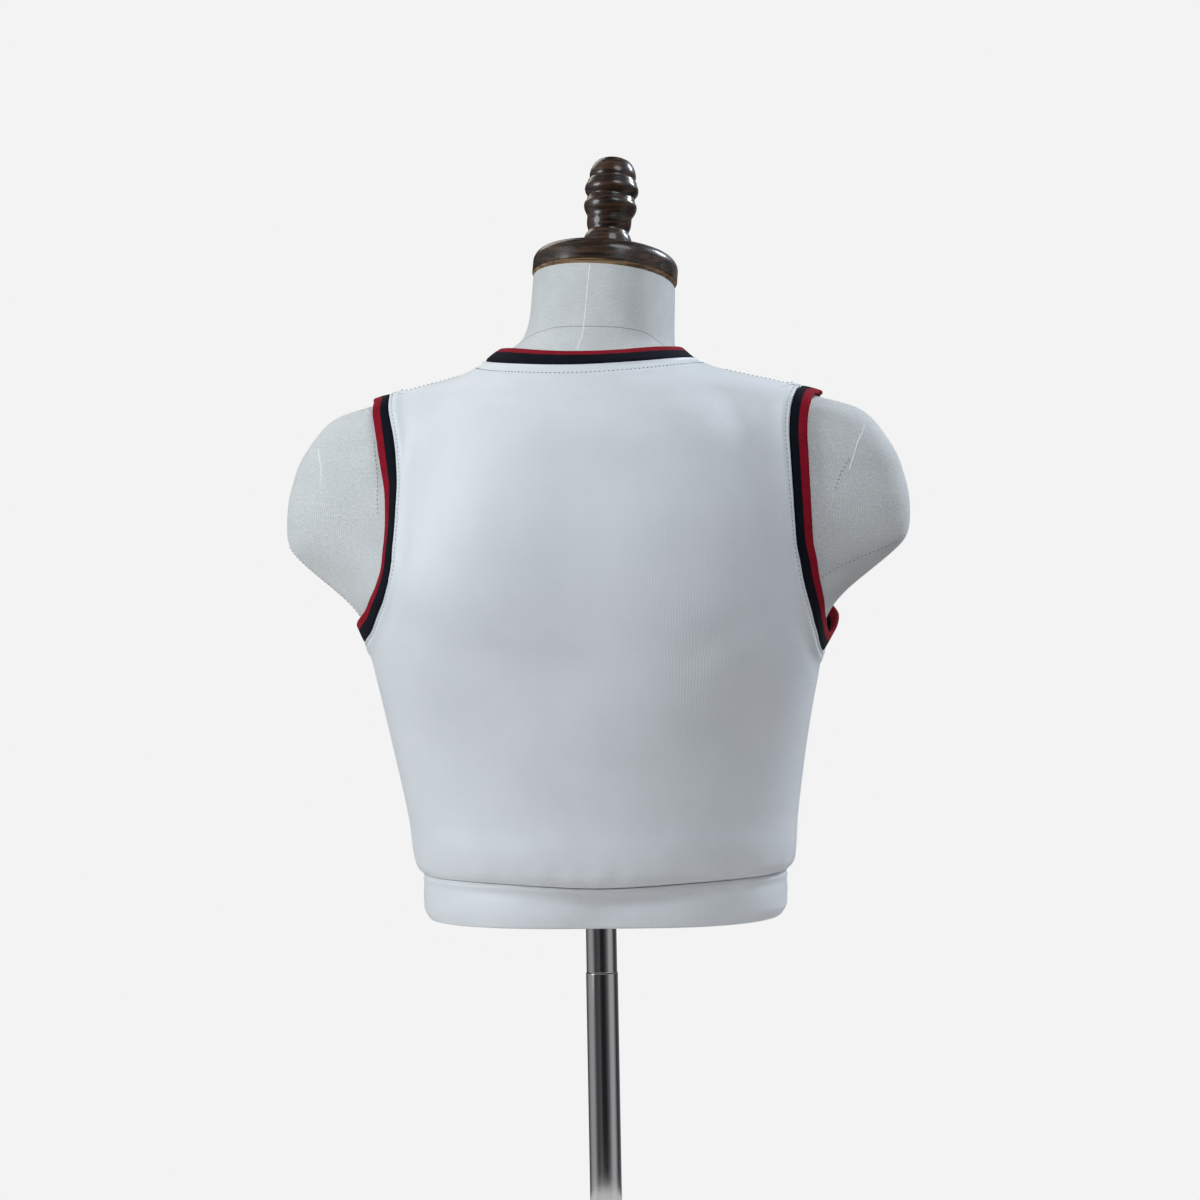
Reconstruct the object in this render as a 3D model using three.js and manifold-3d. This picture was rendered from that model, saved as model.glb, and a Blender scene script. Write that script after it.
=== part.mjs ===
// A knitted crop tank top with striped rib trims, worn by a limbless linen dress form on a chrome pole.
// Millimetres, +Z up. The origin is the centre of the foot plate's underside.
// The front faces -Y, the wearer's left is +X.

import * as THREE from 'three';
import Module from 'manifold-3d';
import { mergeVertices } from 'three/addons/utils/BufferGeometryUtils.js';

const wasm = await Module();
wasm.setup();

// ---------------------------------------------------------------- driving dimensions

const SEAM_GAP = 0.3; // between two pieces that are sewn or stand face to face
const KNIT = 1.5; // thickness of the tank's knit
const RIB_THICK = 2.0; // the trim is folded double
const RIB_WIDE = 13; // free width of the trim, two 6.5 mm stripes
const BAND_THICK = 2.2; // hem band, folded double

const HEM_LOW = 280; // lowest edge of the hem band
const HEM_SEAM = 312; // seam between the band and the panels
const UNDERARM = 459;
const SCOOP_LOW = 560; // lowest point of the front neckline seam
const SHOULDER_END = 618.5; // where the shoulder seam meets the armhole
const NECK_POINT = 638.5; // where the shoulder seam meets the neckline
const BACK_DIP = 4; // the back neckline is this much lower at its middle

const FORM_LOW = 292; // underside of the torso, hidden inside the hem band
const NECK_TOP = 691.5; // cut face of the neck, measured on its axis
const NECK_LEAN = THREE.MathUtils.degToRad(15); // forward lean of the neck's cut face
const NECK_TIP = THREE.MathUtils.degToRad(3.3); // its lean to the wearer's right
const LEAN_FROM = 625; // the lean starts here and is complete at the neck's top

const CAP_RADIUS = 47.5;
const CAP_THICK = 19;
const FINIAL_TALL = 65;

const POLE_RADIUS = 10;
const LOWER_POLE_RADIUS = 10.4;
const POLE_JOINT = 243;
const POLE_TOP = 342;
const BASE_RADIUS = 140;
const BASE_THICK = 10;
const BOSS_RADIUS = 19;
const BOSS_TOP = 26;
const SOCKET_FLOOR = 4;

const FORM_SIDES = 48; // columns round the torso
const SIDE_CROWDING = 0.22; // how much closer they stand at its sides
const PANEL_HALF = 12; // columns from the middle of a panel to its side
const EDGE_BEND = 3; // power with which the outer columns bend with a panel's edge
const EDGE_ORDER = 0.8; // share of the largest power that still keeps a short row's columns in order
const STRIDE = 3; // longest step of a walk over the torso

const LINEN = { color: 0xc9ccce, roughness: 0.9, metalness: 0 };
const WHITE_KNIT = { color: 0xdfe5ea, roughness: 0.6, metalness: 0 };
const STRIPED_RIB = { color: 0x1f2433, roughness: 0.85, metalness: 0 };
const WALNUT = { color: 0x3b2a20, roughness: 0.35, metalness: 0 };
const CHROME = { color: 0xb9bcc0, roughness: 0.12, metalness: 1 };

// ---------------------------------------------------------------- short tables

// Sections of the torso, from its underside to the neck. Each is two rounded ovals blended together:
// the trunk (half width, depth in front of and behind its centre) and the shoulder girdle with its
// two caps (half width and half depth). The centre moves to the back and side by back0 and side0.
const SECTIONS = [
  { z: 292, wide: 114.5, front: 90, back: 86, cap: 0, capDeep: 30, back0: -7, side0: -2.2 },
  { z: 312, wide: 115.5, front: 92, back: 87, cap: 0, capDeep: 30, back0: -7, side0: -2.2 },
  { z: 343, wide: 119.5, front: 98, back: 90, cap: 0, capDeep: 30, back0: -7, side0: -1.5 },
  { z: 369, wide: 124.5, front: 104, back: 92, cap: 0, capDeep: 30, back0: -7, side0: -0.8 },
  { z: 395, wide: 130, front: 109, back: 94, cap: 0, capDeep: 32, back0: -6, side0: 0 },
  { z: 421, wide: 135.5, front: 112, back: 97, cap: 20, capDeep: 35, back0: -4, side0: 0 },
  { z: 447, wide: 142, front: 112, back: 99, cap: 80, capDeep: 36.5, back0: -2, side0: 0 },
  { z: 460, wide: 145.5, front: 111, back: 100, cap: 105, capDeep: 38.5, back0: -1, side0: 0 },
  { z: 473, wide: 146.5, front: 107.5, back: 102.5, cap: 124, capDeep: 40.5, back0: -1.5, side0: 0.4 },
  { z: 486, wide: 148.5, front: 103, back: 104, cap: 147, capDeep: 41.5, back0: -2, side0: 1.4 },
  { z: 499, wide: 148, front: 97, back: 106, cap: 170, capDeep: 43, back0: -3, side0: 2.4 },
  { z: 512, wide: 144.5, front: 90, back: 107, cap: 189, capDeep: 44.5, back0: -4, side0: 1.6 },
  { z: 525, wide: 140.5, front: 85, back: 106, cap: 202, capDeep: 45.5, back0: -4, side0: -0.6 },
  { z: 538, wide: 136.5, front: 79, back: 106, cap: 203.5, capDeep: 46.5, back0: -4, side0: -1.2 },
  { z: 551, wide: 132.5, front: 74, back: 105, cap: 203, capDeep: 46.5, back0: -4, side0: -0.9 },
  { z: 564, wide: 128, front: 69, back: 103, cap: 200, capDeep: 45.5, back0: -4, side0: -1.4 },
  { z: 577, wide: 123, front: 64.5, back: 100, cap: 195.8, capDeep: 44.5, back0: -4, side0: -1.4 },
  { z: 590, wide: 117, front: 60.5, back: 96, cap: 187.8, capDeep: 43, back0: -4, side0: -1.8 },
  { z: 603, wide: 109, front: 58, back: 89, cap: 177, capDeep: 41, back0: -4, side0: -2.2 },
  { z: 609.5, wide: 104, front: 57, back: 84.5, cap: 166.5, capDeep: 40, back0: -4.5, side0: -2.4 },
  { z: 614, wide: 99, front: 56.5, back: 81, cap: 149, capDeep: 39, back0: -5, side0: -2.6 },
  { z: 620, wide: 92, front: 56, back: 76.5, cap: 125.5, capDeep: 38, back0: -5.5, side0: -2.6 },
  { z: 626.5, wide: 82, front: 55.5, back: 71, cap: 93, capDeep: 39.5, back0: -7, side0: -1.6 },
  { z: 633, wide: 68, front: 56, back: 63.5, cap: 69, capDeep: 40, back0: -8.5, side0: 0.4 },
  { z: 639.5, wide: 60, front: 55, back: 56.5, cap: 57, capDeep: 41, back0: -10.5, side0: 1.8 },
  { z: 645, wide: 55, front: 54, back: 51.5, cap: 50, capDeep: 40, back0: -12.5, side0: 0.8 },
  { z: 650, wide: 51.2, front: 52.5, back: 49, cap: 40, capDeep: 34, back0: -14, side0: -1.6 },
  { z: 656, wide: 48.6, front: 51.5, back: 47.5, cap: 20, capDeep: 20, back0: -16, side0: -3.6 },
  { z: 666, wide: 47, front: 51, back: 46.5, cap: 0, capDeep: 20, back0: -18.5, side0: -5 },
  { z: 691.5, wide: 46, front: 50, back: 46, cap: 0, capDeep: 20, back0: -24.5, side0: -6 },
];
const TRUNK_SQUARENESS = 2.15;
const CAP_SQUARENESS = 2.8;
const BLEND = 8;
const BUST = { z: 432, tall: 44, angle: 29, spread: 17, rise: 13 };

// How far the knit's inner face stands off the torso at each height: it blouses over the hem band.
const EASE = [
  { z: 280, ease: 2.0 },
  { z: 312, ease: 2.2 },
  { z: 317, ease: 4.2 },
  { z: 324, ease: 5.6 },
  { z: 345, ease: 5.0 },
  { z: 400, ease: 4.0 },
  { z: 459, ease: 3.0 },
  { z: 520, ease: 2.7 },
  { z: 600, ease: 2.7 },
  { z: 650, ease: 2.7 },
];
// The front hangs from the bust to the hem band and spans the hollow between the two sides of the bust.
const HANG = { z: 352, tall: 40, spread: 55, rise: 7 };
const SPAN = { z: 436, tall: 50, spread: 15, rise: 7 };

// The armhole seam: half width of the back and of the front panel at each height, and how far the
// back has slipped to the wearer's right.
const ARMHOLE = [
  { z: 459, back: 150, front: 150, slip: 0 },
  { z: 460.5, back: 146.2, front: 146.2, slip: 0 },
  { z: 463, back: 144.3, front: 143.5, slip: 0.3 },
  { z: 471, back: 139.8, front: 137, slip: 2.4 },
  { z: 480, back: 137, front: 131.5, slip: 6 },
  { z: 492, back: 133, front: 126, slip: 9.5 },
  { z: 507, back: 128.9, front: 121, slip: 10.8 },
  { z: 524, back: 126.3, front: 117.5, slip: 9.2 },
  { z: 542, back: 125.2, front: 116, slip: 8.5 },
  { z: 560, back: 125, front: 117, slip: 7.6 },
  { z: 577, back: 126, front: 119.5, slip: 5.5 },
  { z: 592, back: 127.2, front: 123.5, slip: 3.1 },
  { z: 604, back: 129.1, front: 127, slip: 1.2 },
  { z: 612, back: 131, front: 130, slip: 0.2 },
  { z: 618.5, back: 132.5, front: 132.5, slip: 0 },
];
const SCOOP_SQUARENESS = 2.3;
const RIB_DRAW = 0.2; // the trim's free edge is drawn this share closer to the torso than its seam
const FRONT_LIFT = 4; // the trim's free edge stands off the torso in front of the underarm
const LIFT_TALL = 30; // height over which it comes back to the torso
const LIFT_FADE = { from: -0.1, to: 0.25 }; // angles past the side between which the lift sets in
const LEVEL_RISE = 24; // the cloth is offset level at the hem seam, and square to the torso this far above

// Heights of the knit's rows: below the armhole, beside it, and along the shoulder seam.
const BODY_ROWS = [312, 317, 324, 336, 352, 370, 390, 410, 428, 445, 459];
const ARMHOLE_ROWS = [
  460.5, 463, 468, 475, 484, 495, 508, 522, 537, 550, 560,
  568, 577, 585, 593, 600, 606, 611, 615, 617.3, 618.5,
];
const SHOULDER_ROWS = [621.5, 625, 629, 632.5, 635.5, 638.5];

// ---------------------------------------------------------------- the torso as a surface

const HALF_TURN = Math.PI;
const SIDE = Math.PI / 2; // angle of both side seams and both shoulder seams, from the middle of the back

function bump(distance, spread) {
  return Math.exp(-((distance / spread) ** 2));
}

// Slope of one column at row i that never overshoots its neighbours.
function slopeAt(table, column, i) {
  const last = table.length - 1;
  const rise = (k) => (table[k + 1][column] - table[k][column]) / (table[k + 1].z - table[k].z);
  if (i === 0) return rise(0);
  if (i === last) return rise(last - 1);
  const below = rise(i - 1);
  const above = rise(i);
  return below * above <= 0 ? 0 : (2 * below * above) / (below + above);
}

// Value of one column at height z, on a smooth curve through the rows.
function lookUp(table, column, z) {
  const top = table[table.length - 1];
  if (z <= table[0].z) return table[0][column];
  if (z >= top.z) return top[column];
  const i = table.findIndex((row) => row.z > z) - 1;
  const span = table[i + 1].z - table[i].z;
  const s = (z - table[i].z) / span;
  const low = table[i][column];
  const high = table[i + 1][column];
  const leave = slopeAt(table, column, i) * span;
  const arrive = slopeAt(table, column, i + 1) * span;
  const curve = (2 * s - 3) * s * s;
  return low * (1 + curve) - high * curve + leave * s * (1 - s) ** 2 - arrive * s * s * (1 - s);
}

// Radius of an oval with the given half width and depth, at an angle from the middle of the back.
function oval(angle, wide, deep, squareness) {
  if (wide < 1) return 0;
  const across = Math.abs(Math.sin(angle) / wide) ** squareness;
  const along = Math.abs(Math.cos(angle) / deep) ** squareness;
  return (across + along) ** (-1 / squareness);
}

function bustRise(z, angle) {
  const fromFront = THREE.MathUtils.radToDeg(HALF_TURN - Math.abs(angle));
  return BUST.rise * bump(z - BUST.z, BUST.tall) * bump(fromFront - BUST.angle, BUST.spread);
}

function torsoRadius(z, angle) {
  const deep = Math.cos(angle) > 0 ? lookUp(SECTIONS, 'back', z) : lookUp(SECTIONS, 'front', z);
  const trunk = oval(angle, lookUp(SECTIONS, 'wide', z), deep, TRUNK_SQUARENESS);
  const girdle = oval(angle, lookUp(SECTIONS, 'cap', z), lookUp(SECTIONS, 'capDeep', z), CAP_SQUARENESS);
  return (trunk ** BLEND + girdle ** BLEND) ** (1 / BLEND) + bustRise(z, angle);
}

// A point of the torso. Towards the neck the sections lean forward and a little to the side.
function torsoPoint(z, angle) {
  const radius = torsoRadius(z, angle);
  const x = radius * Math.sin(angle);
  const y = radius * Math.cos(angle);
  const leaning = THREE.MathUtils.smoothstep(z, LEAN_FROM, NECK_TOP);
  const lift = leaning * (Math.tan(NECK_LEAN) * y + Math.tan(NECK_TIP) * x);
  return new THREE.Vector3(lookUp(SECTIONS, 'side0', z) + x, lookUp(SECTIONS, 'back0', z) + y, z + lift);
}

// Directions along the surface at a place: round the torso, and up it.
function torsoSteps({ z, angle }) {
  const step = 0.002;
  const round = torsoPoint(z, angle + step).sub(torsoPoint(z, angle - step)).divideScalar(2 * step);
  const rise = 0.1;
  const up = torsoPoint(z + rise, angle).sub(torsoPoint(z - rise, angle)).divideScalar(2 * rise);
  return { round, up };
}

function torsoNormal(place) {
  const { round, up } = torsoSteps(place);
  return up.cross(round).normalize();
}

// The place reached by going some way over the surface in a given direction, in short steps.
function walk(place, direction, distance) {
  const steps = Math.max(1, Math.ceil(distance / STRIDE));
  let { z, angle } = place;
  for (let i = 0; i < steps; i += 1) {
    const { round, up } = torsoSteps({ z, angle });
    const rr = round.dot(round);
    const uu = up.dot(up);
    const ru = round.dot(up);
    const dr = round.dot(direction);
    const du = up.dot(direction);
    const along = (dr * uu - du * ru) / (rr * uu - ru * ru);
    const rise = (du * rr - dr * ru) / (rr * uu - ru * ru);
    const length = round.multiplyScalar(along).addScaledVector(up, rise).length();
    angle += (along / length) * (distance / steps);
    z += (rise / length) * (distance / steps);
  }
  return { z, angle };
}

// ---------------------------------------------------------------- cloth on the torso

function easeAt(z, angle) {
  const fromFront = THREE.MathUtils.radToDeg(HALF_TURN - Math.abs(angle));
  const hang = HANG.rise * bump(z - HANG.z, HANG.tall) * bump(fromFront, HANG.spread);
  const span = SPAN.rise * bump(z - SPAN.z, SPAN.tall) * bump(fromFront, SPAN.spread);
  return lookUp(EASE, 'ease', z) + hang + span;
}

// A point of cloth at some height off the torso. The rows at the hem seam are kept level.
function clothPoint(place, height) {
  const normal = torsoNormal(place);
  normal.z *= THREE.MathUtils.smoothstep(place.z, HEM_SEAM + 1, HEM_SEAM + LEVEL_RISE);
  return torsoPoint(place.z, place.angle).addScaledVector(normal.normalize(), height);
}

// The two faces of the knit at one place.
function knitFaces(place) {
  const inner = easeAt(place.z, place.angle);
  return { inner: clothPoint(place, inner), outer: clothPoint(place, inner + KNIT) };
}

// A closed solid from a sheet: points with an inner and an outer place, and quads between them.
function wallFrom(points, quads) {
  const positions = [];
  for (const { inner, outer } of points) positions.push(...outer.toArray(), ...inner.toArray());
  const faces = [];
  const edges = new Map();
  for (const quad of quads) {
    const outer = quad.map((i) => 2 * i);
    const inner = quad.map((i) => 2 * i + 1).reverse();
    for (const [a, b, c, d] of [outer, inner]) faces.push(a, b, c, a, c, d);
    quad.forEach((from, k) => {
      const to = quad[(k + 1) % quad.length];
      if (!edges.delete(`${to} ${from}`)) edges.set(`${from} ${to}`, [from, to]);
    });
  }
  // The wall along the edge is split from its higher outer corner, so two walls at a seam match.
  for (const [from, to] of edges.values()) {
    const [a, b, c, d] = [2 * from, 2 * from + 1, 2 * to + 1, 2 * to];
    const falls = points[from].outer.z > points[to].outer.z;
    faces.push(...(falls ? [a, b, c, a, c, d] : [a, b, d, b, c, d]));
  }
  const geometry = new THREE.BufferGeometry();
  geometry.setAttribute('position', new THREE.Float32BufferAttribute(positions, 3));
  geometry.setIndex(faces);
  return geometry;
}

function quadsBetween(lower, upper) {
  const quads = [];
  for (let j = 0; j + 1 < lower.length; j += 1) {
    quads.push([lower[j], upper[j], upper[j + 1], lower[j + 1]]);
  }
  return quads;
}

// Angle at which a section's half width comes down to the given one, searched from the side inwards.
function angleAtWidth(z, width, isFront) {
  const mirrored = (angle) => (isFront ? HALF_TURN - angle : angle);
  let inside = 0;
  let outside = SIDE;
  if (torsoRadius(z, SIDE) <= width) return mirrored(SIDE);
  for (let i = 0; i < 40; i += 1) {
    const middle = (inside + outside) / 2;
    const reach = torsoRadius(z, mirrored(middle)) * Math.sin(middle);
    if (reach < width) inside = middle;
    else outside = middle;
  }
  return mirrored(outside);
}

// Where a panel ends at height z: on the side seam, the armhole seam or the shoulder seam.
function panelSide(z, hand, isFront) {
  const gap = SEAM_GAP / 2 / torsoRadius(z, SIDE);
  const seam = isFront ? SIDE + gap : SIDE - gap;
  if (z <= UNDERARM || z >= SHOULDER_END) return seam;
  const width = isFront
    ? lookUp(ARMHOLE, 'front', z)
    : lookUp(ARMHOLE, 'back', z) - hand * lookUp(ARMHOLE, 'slip', z);
  const angle = angleAtWidth(z, width, isFront);
  return isFront ? Math.max(angle, seam) : Math.min(angle, seam);
}

// Angle of one column of a panel that ends at the given side. Only the outer columns bend with its edge.
function columnAngle(share, side) {
  return share * SIDE + Math.sign(share) * (side - SIDE) * Math.abs(share) ** EDGE_BEND;
}

// One place of the front neckline seam, from its lowest point (turn 0) to the neck point (a quarter turn).
function scoopAt(turn) {
  const sharp = 2 / SCOOP_SQUARENESS;
  const z = NECK_POINT - (NECK_POINT - SCOOP_LOW) * Math.max(0, Math.cos(turn)) ** sharp;
  const width = torsoRadius(NECK_POINT, SIDE) * Math.sin(turn) ** sharp;
  const seam = SIDE + SEAM_GAP / 2 / torsoRadius(NECK_POINT, SIDE);
  return { z, angle: turn >= SIDE ? seam : Math.max(angleAtWidth(z, width, true), seam) };
}

// Places of the front neckline seam at even steps, from its lowest point to the neck point.
function scoopPlaces(steps) {
  const fine = 240;
  const places = [];
  const lengths = [0];
  for (let i = 0; i <= fine; i += 1) {
    places.push(scoopAt((SIDE * i) / fine));
    if (i === 0) continue;
    const [from, to] = [places[i - 1], places[i]].map(({ z, angle }) => torsoPoint(z, angle));
    lengths.push(lengths[i - 1] + from.distanceTo(to));
  }
  const even = [];
  for (let k = 0; k <= steps; k += 1) {
    const reach = (lengths[fine] * k) / steps - 1e-6;
    even.push(places[Math.max(0, lengths.findIndex((length) => length >= reach))]);
  }
  return even;
}
const SCOOP_STEPS = ARMHOLE_ROWS.length - 1 - ARMHOLE_ROWS.indexOf(SCOOP_LOW);
const SCOOP = scoopPlaces(SCOOP_STEPS);

// ---------------------------------------------------------------- panels

// How far the back's upper rows dip towards the middle.
function neckDip(z, angle) {
  const share = Math.max(0, (z - SHOULDER_END) / (NECK_POINT - SHOULDER_END));
  return BACK_DIP * share * Math.cos(angle) ** 2;
}

function backPanel() {
  const rows = [...BODY_ROWS, ...ARMHOLE_ROWS, ...SHOULDER_ROWS];
  const points = [];
  const quads = [];
  let below = null;
  for (const row of rows) {
    const z = row === HEM_SEAM ? HEM_SEAM + SEAM_GAP / 2 : row;
    const current = [];
    for (let j = -PANEL_HALF; j <= PANEL_HALF; j += 1) {
      const angle = columnAngle(j / PANEL_HALF, panelSide(z, Math.sign(j), false));
      current.push(points.length);
      points.push(knitFaces({ z: z - neckDip(z, angle), angle }));
    }
    if (below) quads.push(...quadsBetween(below, current));
    below = current;
  }
  return wallFrom(points, quads);
}

// Places of one front row on one side, from the middle or the neckline out to the side.
function frontRow(z, scoopStep, hand) {
  const side = panelSide(z, hand, true);
  const inner = scoopStep < 0 ? { z, angle: HALF_TURN } : SCOOP[scoopStep];
  const bend = THREE.MathUtils.clamp((EDGE_ORDER * (inner.angle - SIDE)) / (side - SIDE), 1, EDGE_BEND);
  const places = [];
  for (let j = 0; j <= PANEL_HALF; j += 1) {
    const share = j / PANEL_HALF;
    const angle = THREE.MathUtils.lerp(inner.angle, SIDE, share) + (side - SIDE) * share ** bend;
    places.push({ z: THREE.MathUtils.lerp(inner.z, z, share), angle: hand * angle });
  }
  return places;
}

function frontPanel() {
  const rows = [...BODY_ROWS, ...ARMHOLE_ROWS];
  const scoopRow = rows.indexOf(SCOOP_LOW);
  const points = [];
  const quads = [];
  const below = {};
  rows.forEach((row, i) => {
    const z = row === HEM_SEAM ? HEM_SEAM + SEAM_GAP / 2 : row;
    let middle = null;
    for (const hand of [1, -1]) {
      const current = frontRow(z, i - scoopRow, hand).map((place, j) => {
        if (j === 0 && i <= scoopRow && middle !== null) return middle;
        points.push(knitFaces(place));
        return points.length - 1;
      });
      middle = current[0];
      if (below[hand]) {
        const band = quadsBetween(below[hand], current);
        quads.push(...(hand > 0 ? band.map((quad) => quad.reverse()) : band));
      }
      below[hand] = current;
    }
  });
  return wallFrom(points, quads);
}

// ---------------------------------------------------------------- trims

// A rib trim: a closed loop of places on the seam, and a band that goes on over the torso from it.
// The free edge is lifted off the torso by lift(place).
function ribTrim(loop, lift) {
  const shares = [0, 0.5, 1];
  const seam = loop.map((place) => clothPoint(place, easeAt(place.z, place.angle)));
  const points = [];
  loop.forEach((place, i) => {
    const before = seam[(i + loop.length - 1) % loop.length];
    const after = seam[(i + 1) % loop.length];
    const arriving = seam[i].clone().sub(before).normalize();
    const along = after.clone().sub(seam[i]).normalize().add(arriving);
    const outward = torsoNormal(place).cross(along).normalize();
    for (const share of shares) {
      const reach = SEAM_GAP + RIB_WIDE * share;
      const there = walk(place, outward, reach);
      const inner = easeAt(place.z, place.angle) * (1 - RIB_DRAW * share) + lift(place) * share;
      points.push({ inner: clothPoint(there, inner), outer: clothPoint(there, inner + RIB_THICK) });
    }
  });
  const quads = [];
  for (let i = 0; i < loop.length; i += 1) {
    const here = i * shares.length;
    const next = ((i + 1) % loop.length) * shares.length;
    for (let k = 0; k + 1 < shares.length; k += 1) {
      quads.push([here + k, next + k, next + k + 1, here + k + 1]);
    }
  }
  return wallFrom(points, quads);
}

function armholeRib(hand) {
  const back = ARMHOLE_ROWS.map((z) => ({ z, angle: hand * panelSide(z, hand, false) }));
  const front = ARMHOLE_ROWS.map((z) => ({ z, angle: hand * panelSide(z, hand, true) })).reverse();
  const underarm = { z: UNDERARM, angle: hand * SIDE };
  const top = { z: SHOULDER_END, angle: hand * SIDE };
  const loop = [underarm, ...back.slice(0, -1), top, ...front.slice(1)];
  const lift = ({ z, angle }) => {
    const pastSide = Math.abs(angle) - SIDE;
    const fade = THREE.MathUtils.smoothstep(pastSide, LIFT_FADE.from, LIFT_FADE.to);
    return FRONT_LIFT * fade * bump(z - UNDERARM, LIFT_TALL);
  };
  return ribTrim(hand > 0 ? loop : loop.reverse(), lift);
}

function neckRib() {
  const loop = [];
  for (let j = -PANEL_HALF; j <= PANEL_HALF; j += 1) {
    const angle = (SIDE * j) / PANEL_HALF;
    loop.push({ z: NECK_POINT - neckDip(NECK_POINT, angle), angle });
  }
  for (let k = SCOOP_STEPS - 1; k > -SCOOP_STEPS; k -= 1) {
    const { z, angle } = SCOOP[Math.abs(k)];
    loop.push({ z, angle: k < 0 ? -angle : angle });
  }
  return ribTrim(loop.reverse(), () => 0);
}

// The hem band: folded double, so its lower edge is round, and open at both ends of its tube.
function hemBand() {
  const seam = HEM_SEAM - SEAM_GAP / 2;
  const fold = BAND_THICK / 2;
  const profile = [
    { z: seam, out: 0 },
    { z: (seam + HEM_LOW) / 2, out: 0 },
    { z: HEM_LOW + fold, out: 0 },
    { z: HEM_LOW, out: fold },
    { z: HEM_LOW + fold, out: BAND_THICK },
    { z: (seam + HEM_LOW) / 2, out: BAND_THICK },
    { z: seam, out: BAND_THICK },
  ];
  const positions = [];
  const faces = [];
  for (let i = 0; i < FORM_SIDES; i += 1) {
    const angle = (2 * HALF_TURN * i) / FORM_SIDES;
    for (const { z, out } of profile) {
      const place = { z: Math.max(z, FORM_LOW), angle };
      const point = clothPoint(place, easeAt(place.z, angle) + out);
      positions.push(point.x, point.y, z);
    }
    const next = (i + 1) % FORM_SIDES;
    for (let k = 0; k < profile.length; k += 1) {
      const k2 = (k + 1) % profile.length;
      const [a, b] = [i * profile.length + k, i * profile.length + k2];
      const [d, c] = [next * profile.length + k, next * profile.length + k2];
      faces.push(a, b, c, a, c, d);
    }
  }
  const geometry = new THREE.BufferGeometry();
  geometry.setAttribute('position', new THREE.Float32BufferAttribute(positions, 3));
  geometry.setIndex(faces);
  return geometry;
}

// ---------------------------------------------------------------- the dress form and its stand

function toSolid(geometry) {
  geometry.deleteAttribute('normal');
  geometry.deleteAttribute('uv');
  const merged = mergeVertices(geometry, 1e-4);
  return new wasm.Manifold(new wasm.Mesh({
    numProp: 3,
    vertProperties: new Float32Array(merged.attributes.position.array),
    triVerts: new Uint32Array(merged.index.array),
  }));
}

function toGeometry(solid) {
  const mesh = solid.getMesh();
  const geometry = new THREE.BufferGeometry();
  geometry.setAttribute('position', new THREE.Float32BufferAttribute(mesh.vertProperties, 3));
  geometry.setIndex(Array.from(mesh.triVerts));
  return geometry;
}

// The columns of the torso stand closer together towards the caps at its sides.
function formAngle(i) {
  const even = (2 * HALF_TURN * i) / FORM_SIDES;
  return even + SIDE_CROWDING * Math.sin(2 * even);
}

// The torso: rings from a slightly rounded underside up to the neck's cut face.
function torsoShell() {
  const rings = [
    { z: FORM_LOW, inset: 5 },
    { z: FORM_LOW + 1.5, inset: 1.5 },
    { z: FORM_LOW + 5, inset: 0 },
  ];
  for (const { z } of SECTIONS) if (z > FORM_LOW + 5) rings.push({ z, inset: 0 });
  const positions = [];
  const faces = [];
  for (const { z, inset } of rings) {
    for (let i = 0; i < FORM_SIDES; i += 1) {
      const place = { z, angle: formAngle(i) };
      const flat = torsoNormal(place).setZ(0).normalize();
      positions.push(...torsoPoint(z, place.angle).addScaledVector(flat, -inset).toArray());
    }
  }
  const underside = positions.length / 3;
  positions.push(lookUp(SECTIONS, 'side0', FORM_LOW), lookUp(SECTIONS, 'back0', FORM_LOW), FORM_LOW);
  positions.push(lookUp(SECTIONS, 'side0', NECK_TOP), lookUp(SECTIONS, 'back0', NECK_TOP), NECK_TOP);
  const topRing = (rings.length - 1) * FORM_SIDES;
  for (let i = 0; i < FORM_SIDES; i += 1) {
    const next = (i + 1) % FORM_SIDES;
    faces.push(underside, i, next);
    faces.push(underside + 1, topRing + next, topRing + i);
    for (let k = 0; k + 1 < rings.length; k += 1) {
      const [a, b] = [k * FORM_SIDES + i, k * FORM_SIDES + next];
      faces.push(a, a + FORM_SIDES, b + FORM_SIDES, a, b + FORM_SIDES, b);
    }
  }
  const geometry = new THREE.BufferGeometry();
  geometry.setAttribute('position', new THREE.Float32BufferAttribute(positions, 3));
  geometry.setIndex(faces);
  return geometry;
}

function formBody() {
  const depth = POLE_TOP + SEAM_GAP - FORM_LOW + 10;
  const socket = new THREE.CylinderGeometry(POLE_RADIUS + SEAM_GAP, POLE_RADIUS + SEAM_GAP, depth, 32);
  socket.rotateX(SIDE);
  socket.translate(0, 0, POLE_TOP + SEAM_GAP - depth / 2);
  return toGeometry(toSolid(torsoShell()).subtract(toSolid(socket)));
}

// A turned piece from its profile of [radius, height], standing on z = 0.
function turned(profile, sides) {
  const outline = profile.map(([radius, height]) => new THREE.Vector2(radius, height));
  return new THREE.LatheGeometry(outline, sides).rotateX(SIDE);
}

// An arc of a turned profile, about a centre, from one angle to another in degrees.
function arc(radius, height, size, from, to, steps) {
  const points = [];
  for (let i = 0; i <= steps; i += 1) {
    const turn = THREE.MathUtils.degToRad(from + ((to - from) * i) / steps);
    points.push([radius + size * Math.cos(turn), height + size * Math.sin(turn)]);
  }
  return points;
}

function neckCap() {
  const edge = 8;
  return turned([
    [0, 0],
    [CAP_RADIUS - 3, 0],
    [CAP_RADIUS, 2.5],
    ...arc(CAP_RADIUS - edge, CAP_THICK - edge, edge, 0, 80, 4),
    [CAP_RADIUS - 16, CAP_THICK + 0.8],
    [0, CAP_THICK + 1.4],
  ], 36);
}

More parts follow.
